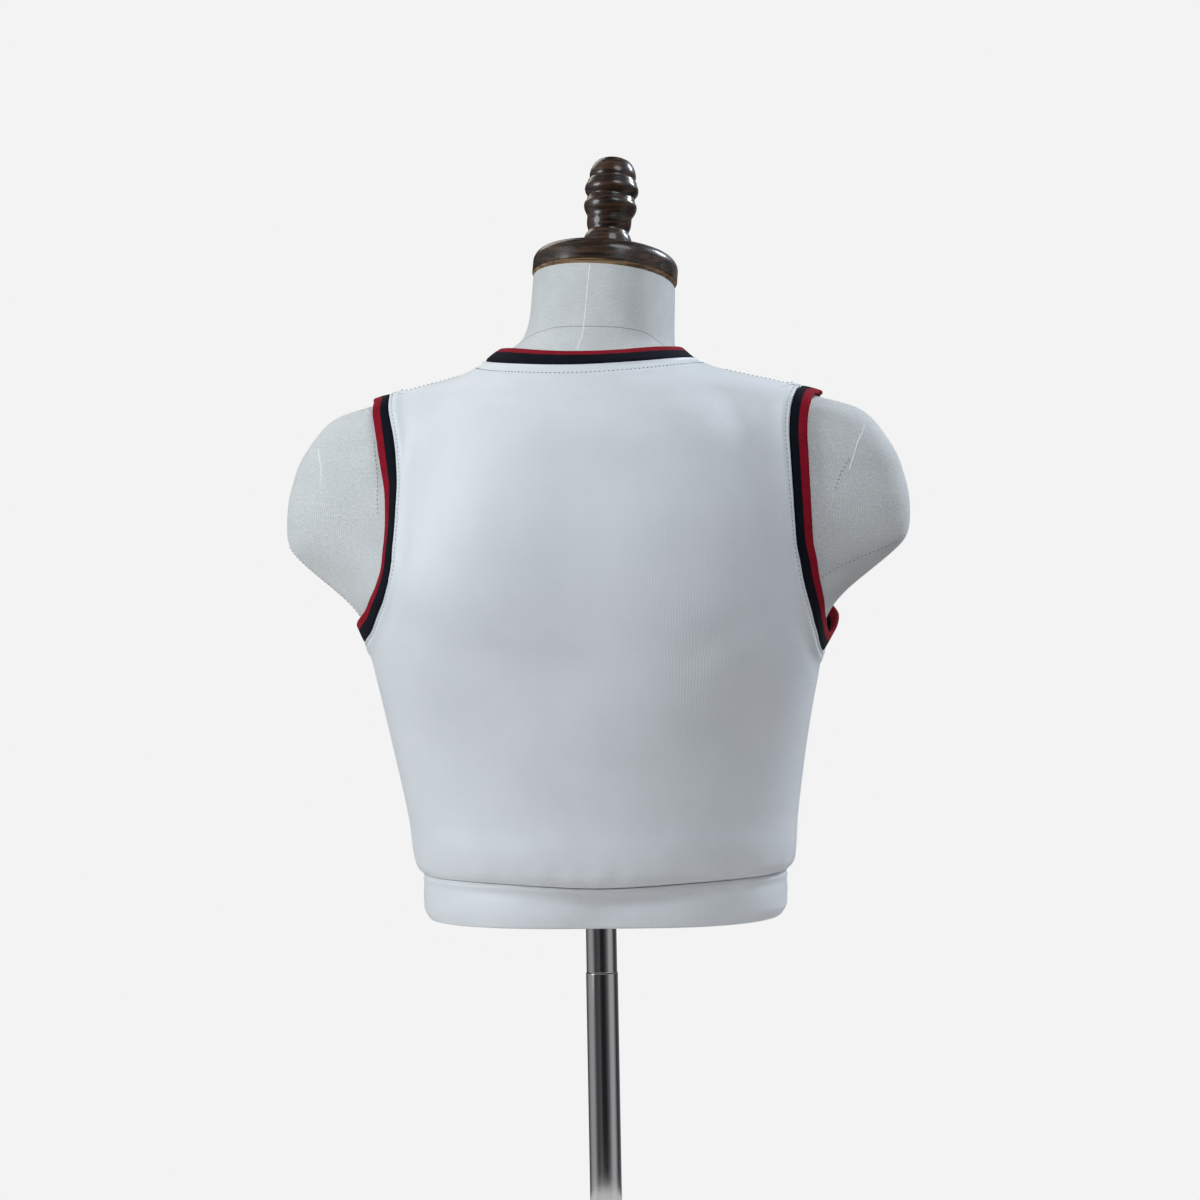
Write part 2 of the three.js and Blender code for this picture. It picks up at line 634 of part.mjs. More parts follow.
// A spreading foot, a slight waist, two beads with grooves and a thin ring between them, and a dome.
function finial() {
  return turned([
    [0, 0],
    [17, 0],
    [16.5, 3],
    [14.2, 9],
    [13.6, 18],
    [14.6, 23],
    ...arc(13.2, 28.8, 4.6, -72, 72, 4),
    [15.6, 33.6],
    [16.1, 35],
    [15.2, 36.8],
    ...arc(12.6, 43.2, 5.3, -72, 72, 4),
    [15, 50.6],
    [15.9, 52.6],
    [15.8, 56],
    [14.4, 60],
    [11, 63],
    [6, 64.6],
    [0, FINIAL_TALL],
  ], 24);
}

function footPlate() {
  const socket = LOWER_POLE_RADIUS + SEAM_GAP;
  return turned([
    [0, 0],
    [BASE_RADIUS - 1, 0],
    [BASE_RADIUS, 1],
    [BASE_RADIUS, BASE_THICK - 5],
    [BASE_RADIUS - 1.5, BASE_THICK - 1.5],
    [BASE_RADIUS - 5, BASE_THICK],
    [BOSS_RADIUS + 4, BASE_THICK],
    [BOSS_RADIUS, BASE_THICK + 4],
    [BOSS_RADIUS, BOSS_TOP - 2],
    [BOSS_RADIUS - 2, BOSS_TOP],
    [socket, BOSS_TOP],
    [socket, SOCKET_FLOOR],
    [0, SOCKET_FLOOR],
  ], 48);
}

function poleSection(radius, low, high) {
  return new THREE.CylinderGeometry(radius, radius, high - low, 32)
    .rotateX(SIDE)
    .translate(0, 0, (low + high) / 2);
}

// ---------------------------------------------------------------- the scene

function piece(name, geometry, material) {
  const mesh = new THREE.Mesh(geometry, new THREE.MeshStandardMaterial(material));
  mesh.name = name;
  return mesh;
}

// The wooden pieces stand on the neck's leaning cut face.
function neckTurnings() {
  const group = new THREE.Group();
  const normal = new THREE.Vector3(-Math.tan(NECK_TIP), -Math.tan(NECK_LEAN), 1).normalize();
  group.quaternion.setFromUnitVectors(new THREE.Vector3(0, 0, 1), normal);
  const neckAxis = [lookUp(SECTIONS, 'side0', NECK_TOP), lookUp(SECTIONS, 'back0', NECK_TOP)];
  group.position.set(...neckAxis, NECK_TOP).addScaledVector(normal, SEAM_GAP);
  const cap = piece('neck_cap', neckCap(), WALNUT);
  const knob = piece('finial', finial(), WALNUT);
  knob.position.z = CAP_THICK + 1.4 + SEAM_GAP;
  group.add(cap, knob);
  return group;
}

const part = new THREE.Group();
part.add(
  piece('back_panel', backPanel(), WHITE_KNIT),
  piece('front_panel', frontPanel(), WHITE_KNIT),
  piece('hem_band', hemBand(), WHITE_KNIT),
  piece('neck_rib', neckRib(), STRIPED_RIB),
  piece('armhole_rib_left', armholeRib(1), STRIPED_RIB),
  piece('armhole_rib_right', armholeRib(-1), STRIPED_RIB),
  piece('form_body', formBody(), LINEN),
  neckTurnings(),
  piece('pole_upper', poleSection(POLE_RADIUS, POLE_JOINT + SEAM_GAP, POLE_TOP), CHROME),
  piece('pole_lower', poleSection(LOWER_POLE_RADIUS, SOCKET_FLOOR + SEAM_GAP, POLE_JOINT), CHROME),
  piece('base', footPlate(), CHROME),
);

export default part;
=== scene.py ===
# %% [markdown]
# # A crop tank top on a dress form
#
# A sleeveless cropped top in smooth white double knit, with a two-colour rib trim at the neck and
# armholes and a hem band of its own cloth. It is worn by a linen bust form with a wooden neck cap, on a
# chrome pole. The solid model fixes every size and place. This script gives each piece its fine shape
# and its finish, and the plain solids that a piece stands in for are hidden.

# %% Open the frame
import math
from functools import partial

import bmesh
import bpy
import numpy as np
from mathutils import Matrix, Vector


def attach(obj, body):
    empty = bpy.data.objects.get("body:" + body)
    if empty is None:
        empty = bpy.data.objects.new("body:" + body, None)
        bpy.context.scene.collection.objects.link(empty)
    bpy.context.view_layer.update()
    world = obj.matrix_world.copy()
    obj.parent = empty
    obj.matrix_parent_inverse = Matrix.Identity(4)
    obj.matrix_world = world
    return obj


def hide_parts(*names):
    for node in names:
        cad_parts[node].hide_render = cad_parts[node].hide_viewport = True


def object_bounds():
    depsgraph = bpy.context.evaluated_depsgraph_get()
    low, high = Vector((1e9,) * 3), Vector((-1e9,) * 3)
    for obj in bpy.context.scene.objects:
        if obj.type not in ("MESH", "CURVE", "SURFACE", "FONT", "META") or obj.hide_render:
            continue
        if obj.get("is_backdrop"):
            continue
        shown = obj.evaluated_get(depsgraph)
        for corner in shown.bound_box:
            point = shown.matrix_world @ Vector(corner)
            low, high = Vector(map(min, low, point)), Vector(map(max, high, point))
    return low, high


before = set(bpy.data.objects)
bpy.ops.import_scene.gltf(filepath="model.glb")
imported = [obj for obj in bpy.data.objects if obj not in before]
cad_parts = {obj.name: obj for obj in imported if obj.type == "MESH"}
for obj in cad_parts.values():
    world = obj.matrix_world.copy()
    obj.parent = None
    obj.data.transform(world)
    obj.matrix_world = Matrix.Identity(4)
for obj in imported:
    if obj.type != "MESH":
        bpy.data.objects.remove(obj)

for name in ("Cube", "Light", "Camera"):  # a new file's own objects
    if name in bpy.data.objects:
        bpy.data.objects.remove(bpy.data.objects[name])

cad_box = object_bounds()
MM = 0.001  # the tables below are in millimetres, and Blender works in metres
print("solid model, metres:", [tuple(round(x, 3) for x in corner) for corner in cad_box])

# %% [markdown]
# ## The form as a surface
#
# A dress form could be sculpted, or built as a cage and subdivided. Here it is worked out from a table of
# level sections, because cloth has to lie on it everywhere at a known distance. A place on it is a height
# z and an angle: 0 is the middle of the back, a quarter turn the wearer's left side, and a half turn the
# middle of the front. Each section blends two rounded ovals, the trunk and the girdle of the shoulders.

# %% Sections of the form
def table(columns, *rows):
    return dict(zip(columns.split(), np.array(rows, float).T))


SECTIONS = table(
    "z wide front back cap cap_deep back0 side0",
    (292, 114.5, 90, 86, 0, 30, -7, -2.2),
    (312, 115.5, 92, 87, 0, 30, -7, -2.2),
    (343, 119.5, 98, 90, 0, 30, -7, -1.5),
    (369, 124.5, 104, 92, 0, 30, -7, -0.8),
    (395, 130, 109, 94, 0, 32, -6, 0),
    (421, 135.5, 112, 97, 20, 35, -4, 0),
    (447, 142, 112, 99, 80, 36.5, -2, 0),
    (460, 145.5, 111, 100, 105, 38.5, -1, 0),
    (473, 146.5, 107.5, 102.5, 124, 40.5, -1.5, 0.4),
    (486, 148.5, 103, 104, 147, 41.5, -2, 1.4),
    (499, 148, 97, 106, 170, 43, -3, 2.4),
    (512, 144.5, 90, 107, 189, 44.5, -4, 1.6),
    (525, 140.5, 85, 106, 202, 45.5, -4, -0.6),
    (538, 136.5, 79, 106, 203.5, 46.5, -4, -1.2),
    (551, 132.5, 74, 105, 203, 46.5, -4, -0.9),
    (564, 128, 69, 103, 200, 45.5, -4, -1.4),
    (577, 123, 64.5, 100, 195.8, 44.5, -4, -1.4),
    (590, 117, 60.5, 96, 187.8, 43, -4, -1.8),
    (603, 109, 58, 89, 177, 41, -4, -2.2),
    (609.5, 104, 57, 84.5, 166.5, 40, -4.5, -2.4),
    (614, 99, 56.5, 81, 149, 39, -5, -2.6),
    (620, 92, 56, 76.5, 125.5, 38, -5.5, -2.6),
    (626.5, 82, 55.5, 71, 93, 39.5, -7, -1.6),
    (633, 68, 56, 63.5, 69, 40, -8.5, 0.4),
    (639.5, 60, 55, 56.5, 57, 41, -10.5, 1.8),
    (645, 55, 54, 51.5, 50, 40, -12.5, 0.8),
    (650, 51.2, 52.5, 49, 40, 34, -14, -1.6),
    (656, 48.6, 51.5, 47.5, 20, 20, -16, -3.6),
    (666, 47, 51, 46.5, 0, 20, -18.5, -5),
    (691.5, 46, 50, 46, 0, 20, -24.5, -6),
)
TRUNK_SQUARENESS, CAP_SQUARENESS, BLEND = 2.15, 2.8, 8
FORM_LOW, NECK_TOP = 292, 691.5
LEAN_FROM, NECK_LEAN, NECK_TIP = 625, math.radians(15), math.radians(3.3)
BUST = dict(z=432, tall=44, angle=29, spread=17, rise=13, valley=6)  # valley: degrees that round the middle
SPINE = dict(deep=14, wide=85, fade=(550, 645))
BLADES = dict(rise=7.5, fade=(520, 625))
RELIEF_FOOT, RELIEF_SIDES = (390, 460), (88, 140)  # heights and half widths where the back's relief fades
HEM_HOLLOW = dict(deep=9, at=-0.27, wide=0.62, front=0.5, front_at=10, front_wide=28, fade=(296, 314))
SIDE, HALF_TURN, FULL_TURN = math.pi / 2, math.pi, math.tau


# %% Smooth curves through a table
def smoothstep(x, low, high):
    s = np.clip((x - low) / (high - low), 0, 1)
    return s * s * (3 - 2 * s)


def fade(x, low, high):
    return 1 - smoothstep(x, low, high)


def bump(distance, spread):
    return np.exp(-((distance / spread) ** 2))


def swell(shape, z, off):
    """A rise that is highest at its own height, and dies away from there and with the degrees off."""
    return shape["rise"] * bump(z - shape["z"], shape["tall"]) * bump(off, shape["spread"])


def look_up(rows, column, z):
    """A column's value at heights z, on a curve through the rows that never overshoots."""
    heights, values = rows["z"], rows[column]
    rise = np.diff(values) / np.diff(heights)
    same = rise[:-1] * rise[1:] > 0
    middle = np.where(same, 2 * rise[:-1] * rise[1:] / np.where(same, rise[:-1] + rise[1:], 1), 0)
    slope = np.concatenate([rise[:1], middle, rise[-1:]])
    z = np.clip(z, heights[0], heights[-1])
    i = np.clip(np.searchsorted(heights, z, side="right") - 1, 0, len(heights) - 2)
    span = heights[i + 1] - heights[i]
    s = (z - heights[i]) / span
    curve = (2 * s - 3) * s * s
    ends = values[i] * (1 + curve) - values[i + 1] * curve
    return ends + span * s * (1 - s) * (slope[i] * (1 - s) - slope[i + 1] * s)


# %% The sections without their small steps
FINE = 0.5  # distance between the levels of the smoothed sections


def smoothed_sections():
    """The table on close levels, smoothed widely up the trunk and only a little at the shoulders."""
    z = np.arange(FORM_LOW, NECK_TOP + FINE, FINE)
    around = np.arange(FORM_LOW - 40, NECK_TOP + 40, FINE)
    fine = {"z": z}
    for column in "wide front back cap cap_deep back0 side0".split():
        trunk_spread = 6 if column.startswith("cap") else 18
        spread = trunk_spread + (3 - trunk_spread) * smoothstep(z, 565, 608)
        weights = bump(z[:, None] - around, spread[:, None])
        fine[column] = weights @ look_up(SECTIONS, column, around) / weights.sum(axis=1)
    return fine


SMOOTH_SECTIONS = smoothed_sections()


def section(column, z):
    return np.interp(z, SMOOTH_SECTIONS["z"], SMOOTH_SECTIONS[column])


# %% A point of the form, and its normal
def off_front(angle):
    """Degrees from the middle of the front, to either side."""
    return np.degrees(np.abs(np.mod(angle, FULL_TURN) - HALF_TURN))


def oval(angle, wide, deep, squareness):
    wide = np.maximum(wide, 1)
    across = np.abs(np.sin(angle) / wide) ** squareness
    along = np.abs(np.cos(angle) / deep) ** squareness
    return (across + along) ** (-1 / squareness)


def back_relief(z, across):
    """The back is hollow along the spine and full over the shoulder blades."""
    hollow = SPINE["deep"] * bump(across, SPINE["wide"]) * fade(z, *SPINE["fade"])
    blades = BLADES["rise"] * fade(z, *BLADES["fade"])
    inside = smoothstep(z, *RELIEF_FOOT) * fade(np.abs(across), *RELIEF_SIDES)
    return inside * (blades - hollow)


def hem_hollow(z, angle):
    """The form goes in under the hem seam, at the middle of the back and less at the front."""
    hem = HEM_HOLLOW
    back = bump(angle - hem["at"], hem["wide"])
    front = hem["front"] * bump(off_front(angle) - hem["front_at"], hem["front_wide"])
    return hem["deep"] * (back + front) * fade(z, *hem["fade"])


def torso_radius(z, angle):
    deep = np.where(np.cos(angle) > 0, section("back", z), section("front", z))
    trunk = oval(angle, section("wide", z), deep, TRUNK_SQUARENESS)
    girdle = oval(angle, section("cap", z), section("cap_deep", z), CAP_SQUARENESS)
    off_bust = np.hypot(off_front(angle), BUST["valley"]) - BUST["angle"]
    bust = swell(BUST, z, off_bust)
    radius = (trunk**BLEND + girdle**BLEND) ** (1 / BLEND) - hem_hollow(z, angle)
    return radius + np.where(np.cos(angle) > 0, back_relief(z, radius * np.sin(angle)), bust)


def torso_point(z, angle):
    """A point of the form. Towards the neck the sections lean forward and a little to one side."""
    z, angle = np.broadcast_arrays(np.asarray(z, float), np.asarray(angle, float))
    radius = torso_radius(z, angle)
    x, y = radius * np.sin(angle), radius * np.cos(angle)
    leaning = smoothstep(z, LEAN_FROM, NECK_TOP)
    lift = leaning * (math.tan(NECK_LEAN) * y + math.tan(NECK_TIP) * x)
    return np.stack([section("side0", z) + x, section("back0", z) + y, z + lift], axis=-1)


def torso_steps(z, angle):
    """Directions along the surface at a place: round the form, and up it."""
    turn, rise = 0.002, FINE
    round_it = (torso_point(z, angle + turn) - torso_point(z, angle - turn)) / (2 * turn)
    up_it = (torso_point(z + rise, angle) - torso_point(z - rise, angle)) / (2 * rise)
    return round_it, up_it


def unit(vectors):
    return vectors / np.linalg.norm(vectors, axis=-1, keepdims=True)


def torso_normal(z, angle):
    round_it, up_it = torso_steps(z, angle)
    return unit(np.cross(up_it, round_it))


# %% [markdown]
# ## Cloth at a distance from the form
#
# Knit that is worn touches the form in some places and stands off in others. It blouses over the hem
# band, hangs straight down from the bust, and spans the hollow between the two sides of the bust. So the
# cloth is the form's surface moved out by an ease that changes with height and angle.

# %% Ease of the knit
SEAM_GAP, KNIT, RIB_THICK, BAND_THICK = 0.3, 1.5, 2.0, 2.2
HEM_LOW, HEM_SEAM, UNDERARM = 280, 312, 459
SCOOP_LOW, SHOULDER_END, NECK_POINT, BACK_DIP = 560, 618.5, 638.5, 4
EASE = table(
    "z ease",
    (280, 2),
    (312, 2.2),
    (315, 4.4),
    (319, 5.9),
    (326, 6.4),
    (345, 5.2),
    (400, 4),
    (459, 3),
    (520, 2.7),
    (600, 2.7),
    (650, 2.7),
)
HANG = dict(z=352, tall=40, spread=55, rise=7)
SPAN = dict(z=436, tall=50, spread=15, rise=7)
SAG = dict(least=2.6, back=2.8, at=-0.1, wide=0.55, waver=0.5, tall=14)
LEVEL_RISE = 24  # the cloth is moved out level at the hem seam, and square to the form this far above


def ease_at(z, angle):
    off = off_front(angle)
    return look_up(EASE, "ease", z) + swell(HANG, z, off) + swell(SPAN, z, off)


def cloth_normal(z, angle):
    normal = torso_normal(z, angle)
    normal[..., 2] *= smoothstep(z, HEM_SEAM + 1, HEM_SEAM + LEVEL_RISE)
    return unit(normal)


def seam_sag(angle):
    """The blousing panels hang over the hem seam, most at the middle of the back."""
    waver = SAG["waver"] * np.sin(3 * angle + 1) * bump(off_front(angle), 60)
    return SAG["least"] + SAG["back"] * bump(angle - SAG["at"], SAG["wide"]) + waver


def cloth_point(z, angle, height):
    point = torso_point(z, angle) + cloth_normal(z, angle) * np.asarray(height)[..., None]
    point[..., 2] -= seam_sag(angle) * bump(z - HEM_SEAM, SAG["tall"])
    return point


# %% Walks over the form
def walk(z, angle, direction, distance, steps=6):
    """Places reached by going some way over the form from each place, in a straight direction."""
    for _ in range(steps):
        round_it, up_it = torso_steps(z, angle)
        rr, uu, ru = ((a * b).sum(-1) for a, b in ((round_it, round_it), (up_it, up_it), (round_it, up_it)))
        dr, du = ((direction * a).sum(-1) for a in (round_it, up_it))
        turning = (dr * uu - du * ru) / (rr * uu - ru * ru)
        rising = (du * rr - dr * ru) / (rr * uu - ru * ru)
        length = np.linalg.norm(round_it * turning[:, None] + up_it * rising[:, None], axis=1)
        angle = angle + turning / length * distance / steps
        z = z + rising / length * distance / steps
    return z, angle


# %% [markdown]
# ## Where the panels end
#
# The back and the front are cut alike below the arms. Above, the armhole seam is a table of half widths,
# and the front's neckline is a deep scoop, a rounded curve between the two neck points.

# %% Edges of the panels
ARMHOLE = table(
    "z back front slip",  # slip: how far the back's edge has moved to the wearer's right
    (459, 150, 150, 0),
    (460.5, 146.2, 146.2, 0),
    (463, 144.3, 143.5, 0.3),
    (471, 138.9, 137, 4.5),
    (480, 135.7, 131.5, 7.3),
    (492, 131.3, 126, 10.2),
    (507, 127.8, 121, 11.4),
    (524, 126, 117.5, 9.4),
    (542, 125.2, 116, 8.5),
    (560, 125, 117, 7.6),
    (577, 126, 119.5, 5.5),
    (592, 127.2, 123.5, 3.1),
    (604, 129.1, 127, 1.2),
    (612, 131, 130, 0.2),
    (618.5, 132.5, 132.5, 0),
)
RIGHT_CORNER = table(  # the armhole on the wearer's right is drawn down to a point: degrees of its two seams
    "z back front",
    (452.5, 90, 90),
    (455, 86, 93.5),
    (460, 82.2, 97.5),
    (466, 79.7, 101),
    (473, 77.4, 105),
)
RIGHT_UNDERARM, CORNER_FADE = 452.5, (466, 473)
SCOOP_SQUARENESS = 2.3


def underarm(hand):
    return UNDERARM if hand > 0 else RIGHT_UNDERARM


def length_along(points):
    """Length of a line of points, up to each of them."""
    return np.concatenate([[0], np.cumsum(np.linalg.norm(np.diff(points, axis=0), axis=1))])


def evenly(points, count, *values):
    """Values that belong to a line of points, read off at even steps along it."""
    length = length_along(points)
    even = np.linspace(0, length[-1], count)
    return [np.interp(even, length, value) for value in values]


def angle_at_width(z, width, is_front):
    """Angle at which a section comes in to the given half width."""
    z, width = np.broadcast_arrays(np.asarray(z, float), np.asarray(width, float))
    inside, outside = np.zeros(z.shape), np.full(z.shape, SIDE)
    for _ in range(30):
        middle = (inside + outside) / 2
        reach = torso_radius(z, HALF_TURN - middle if is_front else middle) * np.sin(middle)
        inside = np.where(reach < width, middle, inside)
        outside = np.where(reach < width, outside, middle)
    return HALF_TURN - outside if is_front else outside


def panel_side(z, hand, is_front):
    """Where a panel ends at heights z: on the side, armhole or shoulder seam."""
    levels, index = np.unique(np.asarray(z, float), return_inverse=True)
    gap = SEAM_GAP / 2 / torso_radius(levels, SIDE)
    face, outer, seam = ("front", np.maximum, SIDE + gap) if is_front else ("back", np.minimum, SIDE - gap)
    width = look_up(ARMHOLE, face, levels)
    if not is_front:
        width = width - hand * look_up(ARMHOLE, "slip", levels)
    angle = outer(angle_at_width(levels, width, is_front), seam)
    if hand < 0:
        corner = outer(np.radians(look_up(RIGHT_CORNER, face, levels)), seam)
        angle = angle + (corner - angle) * fade(levels, *CORNER_FADE)
    beside = (levels > underarm(hand)) & (levels < SHOULDER_END)
    return np.where(beside, angle, seam)[index].reshape(np.shape(z))


def scoop_line(count):
    """Heights and angles of the front neckline seam, evenly from its lowest point to the neck point."""
    turn = np.linspace(0, SIDE, 400)
    sharp = 2 / SCOOP_SQUARENESS
    z = NECK_POINT - (NECK_POINT - SCOOP_LOW) * np.maximum(0, np.cos(turn)) ** sharp
    width = torso_radius(NECK_POINT, SIDE) * np.sin(turn) ** sharp
    seam = SIDE + SEAM_GAP / 2 / torso_radius(NECK_POINT, SIDE)
    angle = np.maximum(angle_at_width(z, width, True), seam)
    angle[-1] = seam
    return evenly(torso_point(z, angle), count, z, angle)


def neck_dip(z, angle):
    share = np.clip((z - SHOULDER_END) / (NECK_POINT - SHOULDER_END), 0, None)
    return BACK_DIP * share * np.cos(angle) ** 2


# %% [markdown]
# ## Camera, light and floor
#
# The camera stands behind the form, a little to one side and slightly above the middle of the back, with
# a long lens, so the shape is nearly free of perspective. Smooth white knit shows its form only through a
# slow change from light to shade. So a large soft light on the wearer's left, with a small one near it,
# does most of the work, a third comes over the other shoulder, and even light from the room is kept weak.
# A rim from in front outlines the far side, and the front has a soft fill of its own.

# %% Camera
scene = bpy.context.scene
CAMERA_TURN, CAMERA_AWAY, CAMERA_HIGH = math.radians(189), 2.8, 0.597
CAMERA_ROLL = math.radians(1.05)
AIM = Vector((-0.0032, 0, 0.486))
eye = Vector((math.sin(CAMERA_TURN) * CAMERA_AWAY, -math.cos(CAMERA_TURN) * CAMERA_AWAY, CAMERA_HIGH))
camera = bpy.data.objects.new("camera", bpy.data.cameras.new("camera"))
camera.data.sensor_width, camera.data.lens = 36, 129.3
camera.location = eye
level_view = (AIM - eye).to_track_quat("-Z", "Y").to_matrix()
camera.rotation_euler = (level_view @ Matrix.Rotation(-CAMERA_ROLL, 3, "Z")).to_euler()
scene.collection.objects.link(camera)
scene.camera = camera
print("camera at", tuple(round(x, 3) for x in eye), "lens", camera.data.lens)


# %% Colours and nodes
# In a Mix node of colours, inputs 6 and 7 are the two colours, and output 2 is the mixed one.
def colour(code):
    """An sRGB hex value as the linear colour that Blender's sockets take."""
    parts = [int(code[i : i + 2], 16) / 255 for i in (1, 3, 5)]
    return tuple(c / 12.92 if c <= 0.04045 else ((c + 0.055) / 1.055) ** 2.4 for c in parts) + (1,)


def add_node(tree, kind, inputs=None, **settings):
    """Adds a node. An input is linked to a socket or a node's first output, and set to anything else."""
    made = tree.nodes.new("ShaderNode" + kind)
    for name, value in settings.items():
        setattr(made, name, value)
    for name, value in (inputs or {}).items():
        if isinstance(value, bpy.types.Node):
            value = value.outputs[0]
        if isinstance(value, bpy.types.NodeSocket):
            tree.links.new(value, made.inputs[name])
        else:
            made.inputs[name].default_value = value
    return made


def make_material(name, surface, *details):
    """A material whose shader is what surface returns, given add_node for its tree and any details."""
    material = bpy.data.materials.new(name)
    material.use_nodes = True
    material.node_tree.nodes.clear()
    add = partial(add_node, material.node_tree)
    add("OutputMaterial", {"Surface": surface(add, *details)})
    return material


# %% Lights
LIT_SPOT = Vector((0, 0, 0.47))
LIGHTS = {  # place in metres, size across in metres, power in watts, colour
    "key": ((2.4, 1.3, 1.2), 1.6, 31, "#F8FDFF"),
    "near key": ((1.3, 0.8, 1.05), 0.8, 8, "#F0FAFF"),
    "over the shoulder": ((-1.1, 1.2, 2.3), 1.2, 23, "#F3FAFF"),
    "rim": ((-1.9, -1.8, 2.1), 0.8, 60, "#E6F2FF"),
    "front fill": ((1.4, -2.0, 2.2), 1.5, 12, "#FFF8F0"),
}
for name, (place, size, power, tint) in LIGHTS.items():
    light = bpy.data.lights.new(name, "AREA")
    light.shape, light.size, light.energy, light.color = "DISK", size, power, colour(tint)[:3]
    lamp = bpy.data.objects.new(name, light)
    lamp.location = place
    lamp.rotation_euler = (LIT_SPOT - Vector(place)).to_track_quat("-Z", "Y").to_euler()
    scene.collection.objects.link(lamp)
print("lights:", ", ".join(LIGHTS))

# %% World and floor
# The camera sees plain pale grey, cloth gets a weak even light, and polished pieces mirror a dark room
# with tall bright panels: (compass angle as a share of a turn, brightness).
ROOM_BANDS = [(0.0, 0.02), (0.03, 0.1), (0.12, 0.06), (0.19, 0.42), (0.27, 0.4), (0.34, 0.16), (0.42, 0.03),
              (0.52, 0.3), (0.6, 0.1), (0.68, 0.04), (0.76, 0.5), (0.82, 0.45), (0.87, 0.12), (0.93, 0.02)]
world = bpy.data.worlds.new("studio")
scene.world = world
world.use_nodes = True
world.node_tree.nodes.clear()
add = partial(add_node, world.node_tree)
seen = add("Background", {"Color": colour("#F3F3F3"), "Strength": 1.0})
room = add("Background", {"Color": colour("#D0D1DA"), "Strength": 0.31})
facing = add("SeparateXYZ", {0: add("TexCoord").outputs["Generated"]}).outputs
compass = add("Math", {0: facing["X"], 1: facing["Y"]}, operation="ARCTAN2")
turn = add("MapRange", {"Value": compass, "From Min": -math.pi, "From Max": math.pi})
bands = add("ValToRGB", {0: turn})
for k, (share, level) in enumerate(ROOM_BANDS):
    share = (share + 0.5) % 1
    stop = bands.color_ramp.elements[0] if k == 0 else bands.color_ramp.elements.new(share)
    stop.position, stop.color = share, (level, level, level * 1.03, 1)
bands.color_ramp.elements.remove(bands.color_ramp.elements[-1])
mirrored = add("Background", {"Color": bands, "Strength": 1.0})
path = add("LightPath").outputs
lit = add("MixShader", {0: path["Is Glossy Ray"], 1: room, 2: mirrored})
add("OutputWorld", {"Surface": add("MixShader", {0: path["Is Camera Ray"], 1: lit, 2: seen})})
scene.view_settings.view_transform = "Standard"

bm = bmesh.new()
bmesh.ops.create_circle(bm, segments=96, radius=0.5, cap_ends=True)
floor_mesh = bpy.data.meshes.new("floor")
bm.to_mesh(floor_mesh)
bm.free()
floor = bpy.data.objects.new("floor", floor_mesh)
scene.collection.objects.link(floor)
floor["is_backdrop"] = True
paint = {"Base Color": colour("#F0E8E0"), "Roughness": 0.9}
floor_mesh.materials.append(make_material("painted studio floor", lambda add: add("BsdfPrincipled", paint)))


# %% [markdown]
# ## Helpers for bent sheets
#
# Every soft surface here starts as bmesh's flat grid. Its points are moved to places on the form, and the
# grid's own place on the cut cloth is kept as a UV map in metres, so that threads, stripes and stitches
# keep their real size. The grids run from the wearer's left to the right and upwards, so faces point out.

# %% Bent grids and finished pieces
WELD = 0.01 * MM  # points closer than this are one point


def bent_grid(across, up, shape, bm=None):
    """A bmesh with a grid moved to shape(s, t), which gives points and their places on the flat, in mm."""
    bm = bm or bmesh.new()
    flat_map = bm.loops.layers.uv.get("UVMap") or bm.loops.layers.uv.new("UVMap")
    made = bmesh.ops.create_grid(bm, x_segments=across, y_segments=up, size=1)["verts"]
    st = np.array([vert.co[:2] for vert in made]) / 2 + 0.5
    points, flat = shape(st[:, 0], st[:, 1])
    place = {}
    for vert, point, uv in zip(made, points * MM, flat * MM):
        vert.co = point
        place[vert] = uv
    for face in {face for vert in made for face in vert.link_faces}:
        for loop in face.loops:
            loop[flat_map].uv = place[loop.vert]
    return bm


def make_piece(name, bm, material, slot, *nodes, wall=None, sharp=None):
    """Turns a bmesh into a piece of the object that stands for the named solids.

    Cloth has a wall this many mm thick, inwards from the face that shows. Edges sharper than the given
    angle, in degrees, stay hard.
    """
    bmesh.ops.remove_doubles(bm, verts=bm.verts, dist=WELD)
    mesh = bpy.data.meshes.new(name)
    bm.to_mesh(mesh)
    bm.free()
    mesh.shade_smooth()
    mesh.materials.append(material)
    piece = bpy.data.objects.new(name, mesh)
    scene.collection.objects.link(piece)
    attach(piece, "root")
    if nodes:
        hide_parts(*nodes)
    if wall:
        thickness = piece.modifiers.new("thickness", "SOLIDIFY")
        thickness.thickness, thickness.offset = wall * MM, -1
    if sharp:
        mesh.set_sharp_from_angle(angle=math.radians(sharp))
    print(f"{name}: {len(mesh.polygons)} faces")
    return piece


def distance_to(points, line):
    """Distance of each point to a line of points, in mm."""
    start, along = line[:-1], np.diff(line, axis=0)
    length = np.maximum((along**2).sum(1), 1e-9)
    nearest = np.full(len(points), 1e9)
    for a, b, ll in zip(start, along, length):
        share = np.clip(((points - a) @ b) / ll, 0, 1)
        nearest = np.minimum(nearest, ((points - a - share[:, None] * b) ** 2).sum(1))
    return np.sqrt(nearest)


# %% [markdown]
# ## Linen on the form
#
# The form is a padded shell under plain-woven linen: two sets of threads that cross, each a little
# uneven, which gives a matt, slightly grainy pale grey. A woven picture could be used, but two bands of
# waves across the flat map give the same threads at any distance. Real linen thread here is about 0.5 mm
# wide; it is drawn a little coarser so that it shows.

# %% Linen
def waves(pitch):
    """The wave texture's scale for bands this many mm apart: it makes 20 radians a metre."""
    return math.tau / 20 / (pitch * MM)


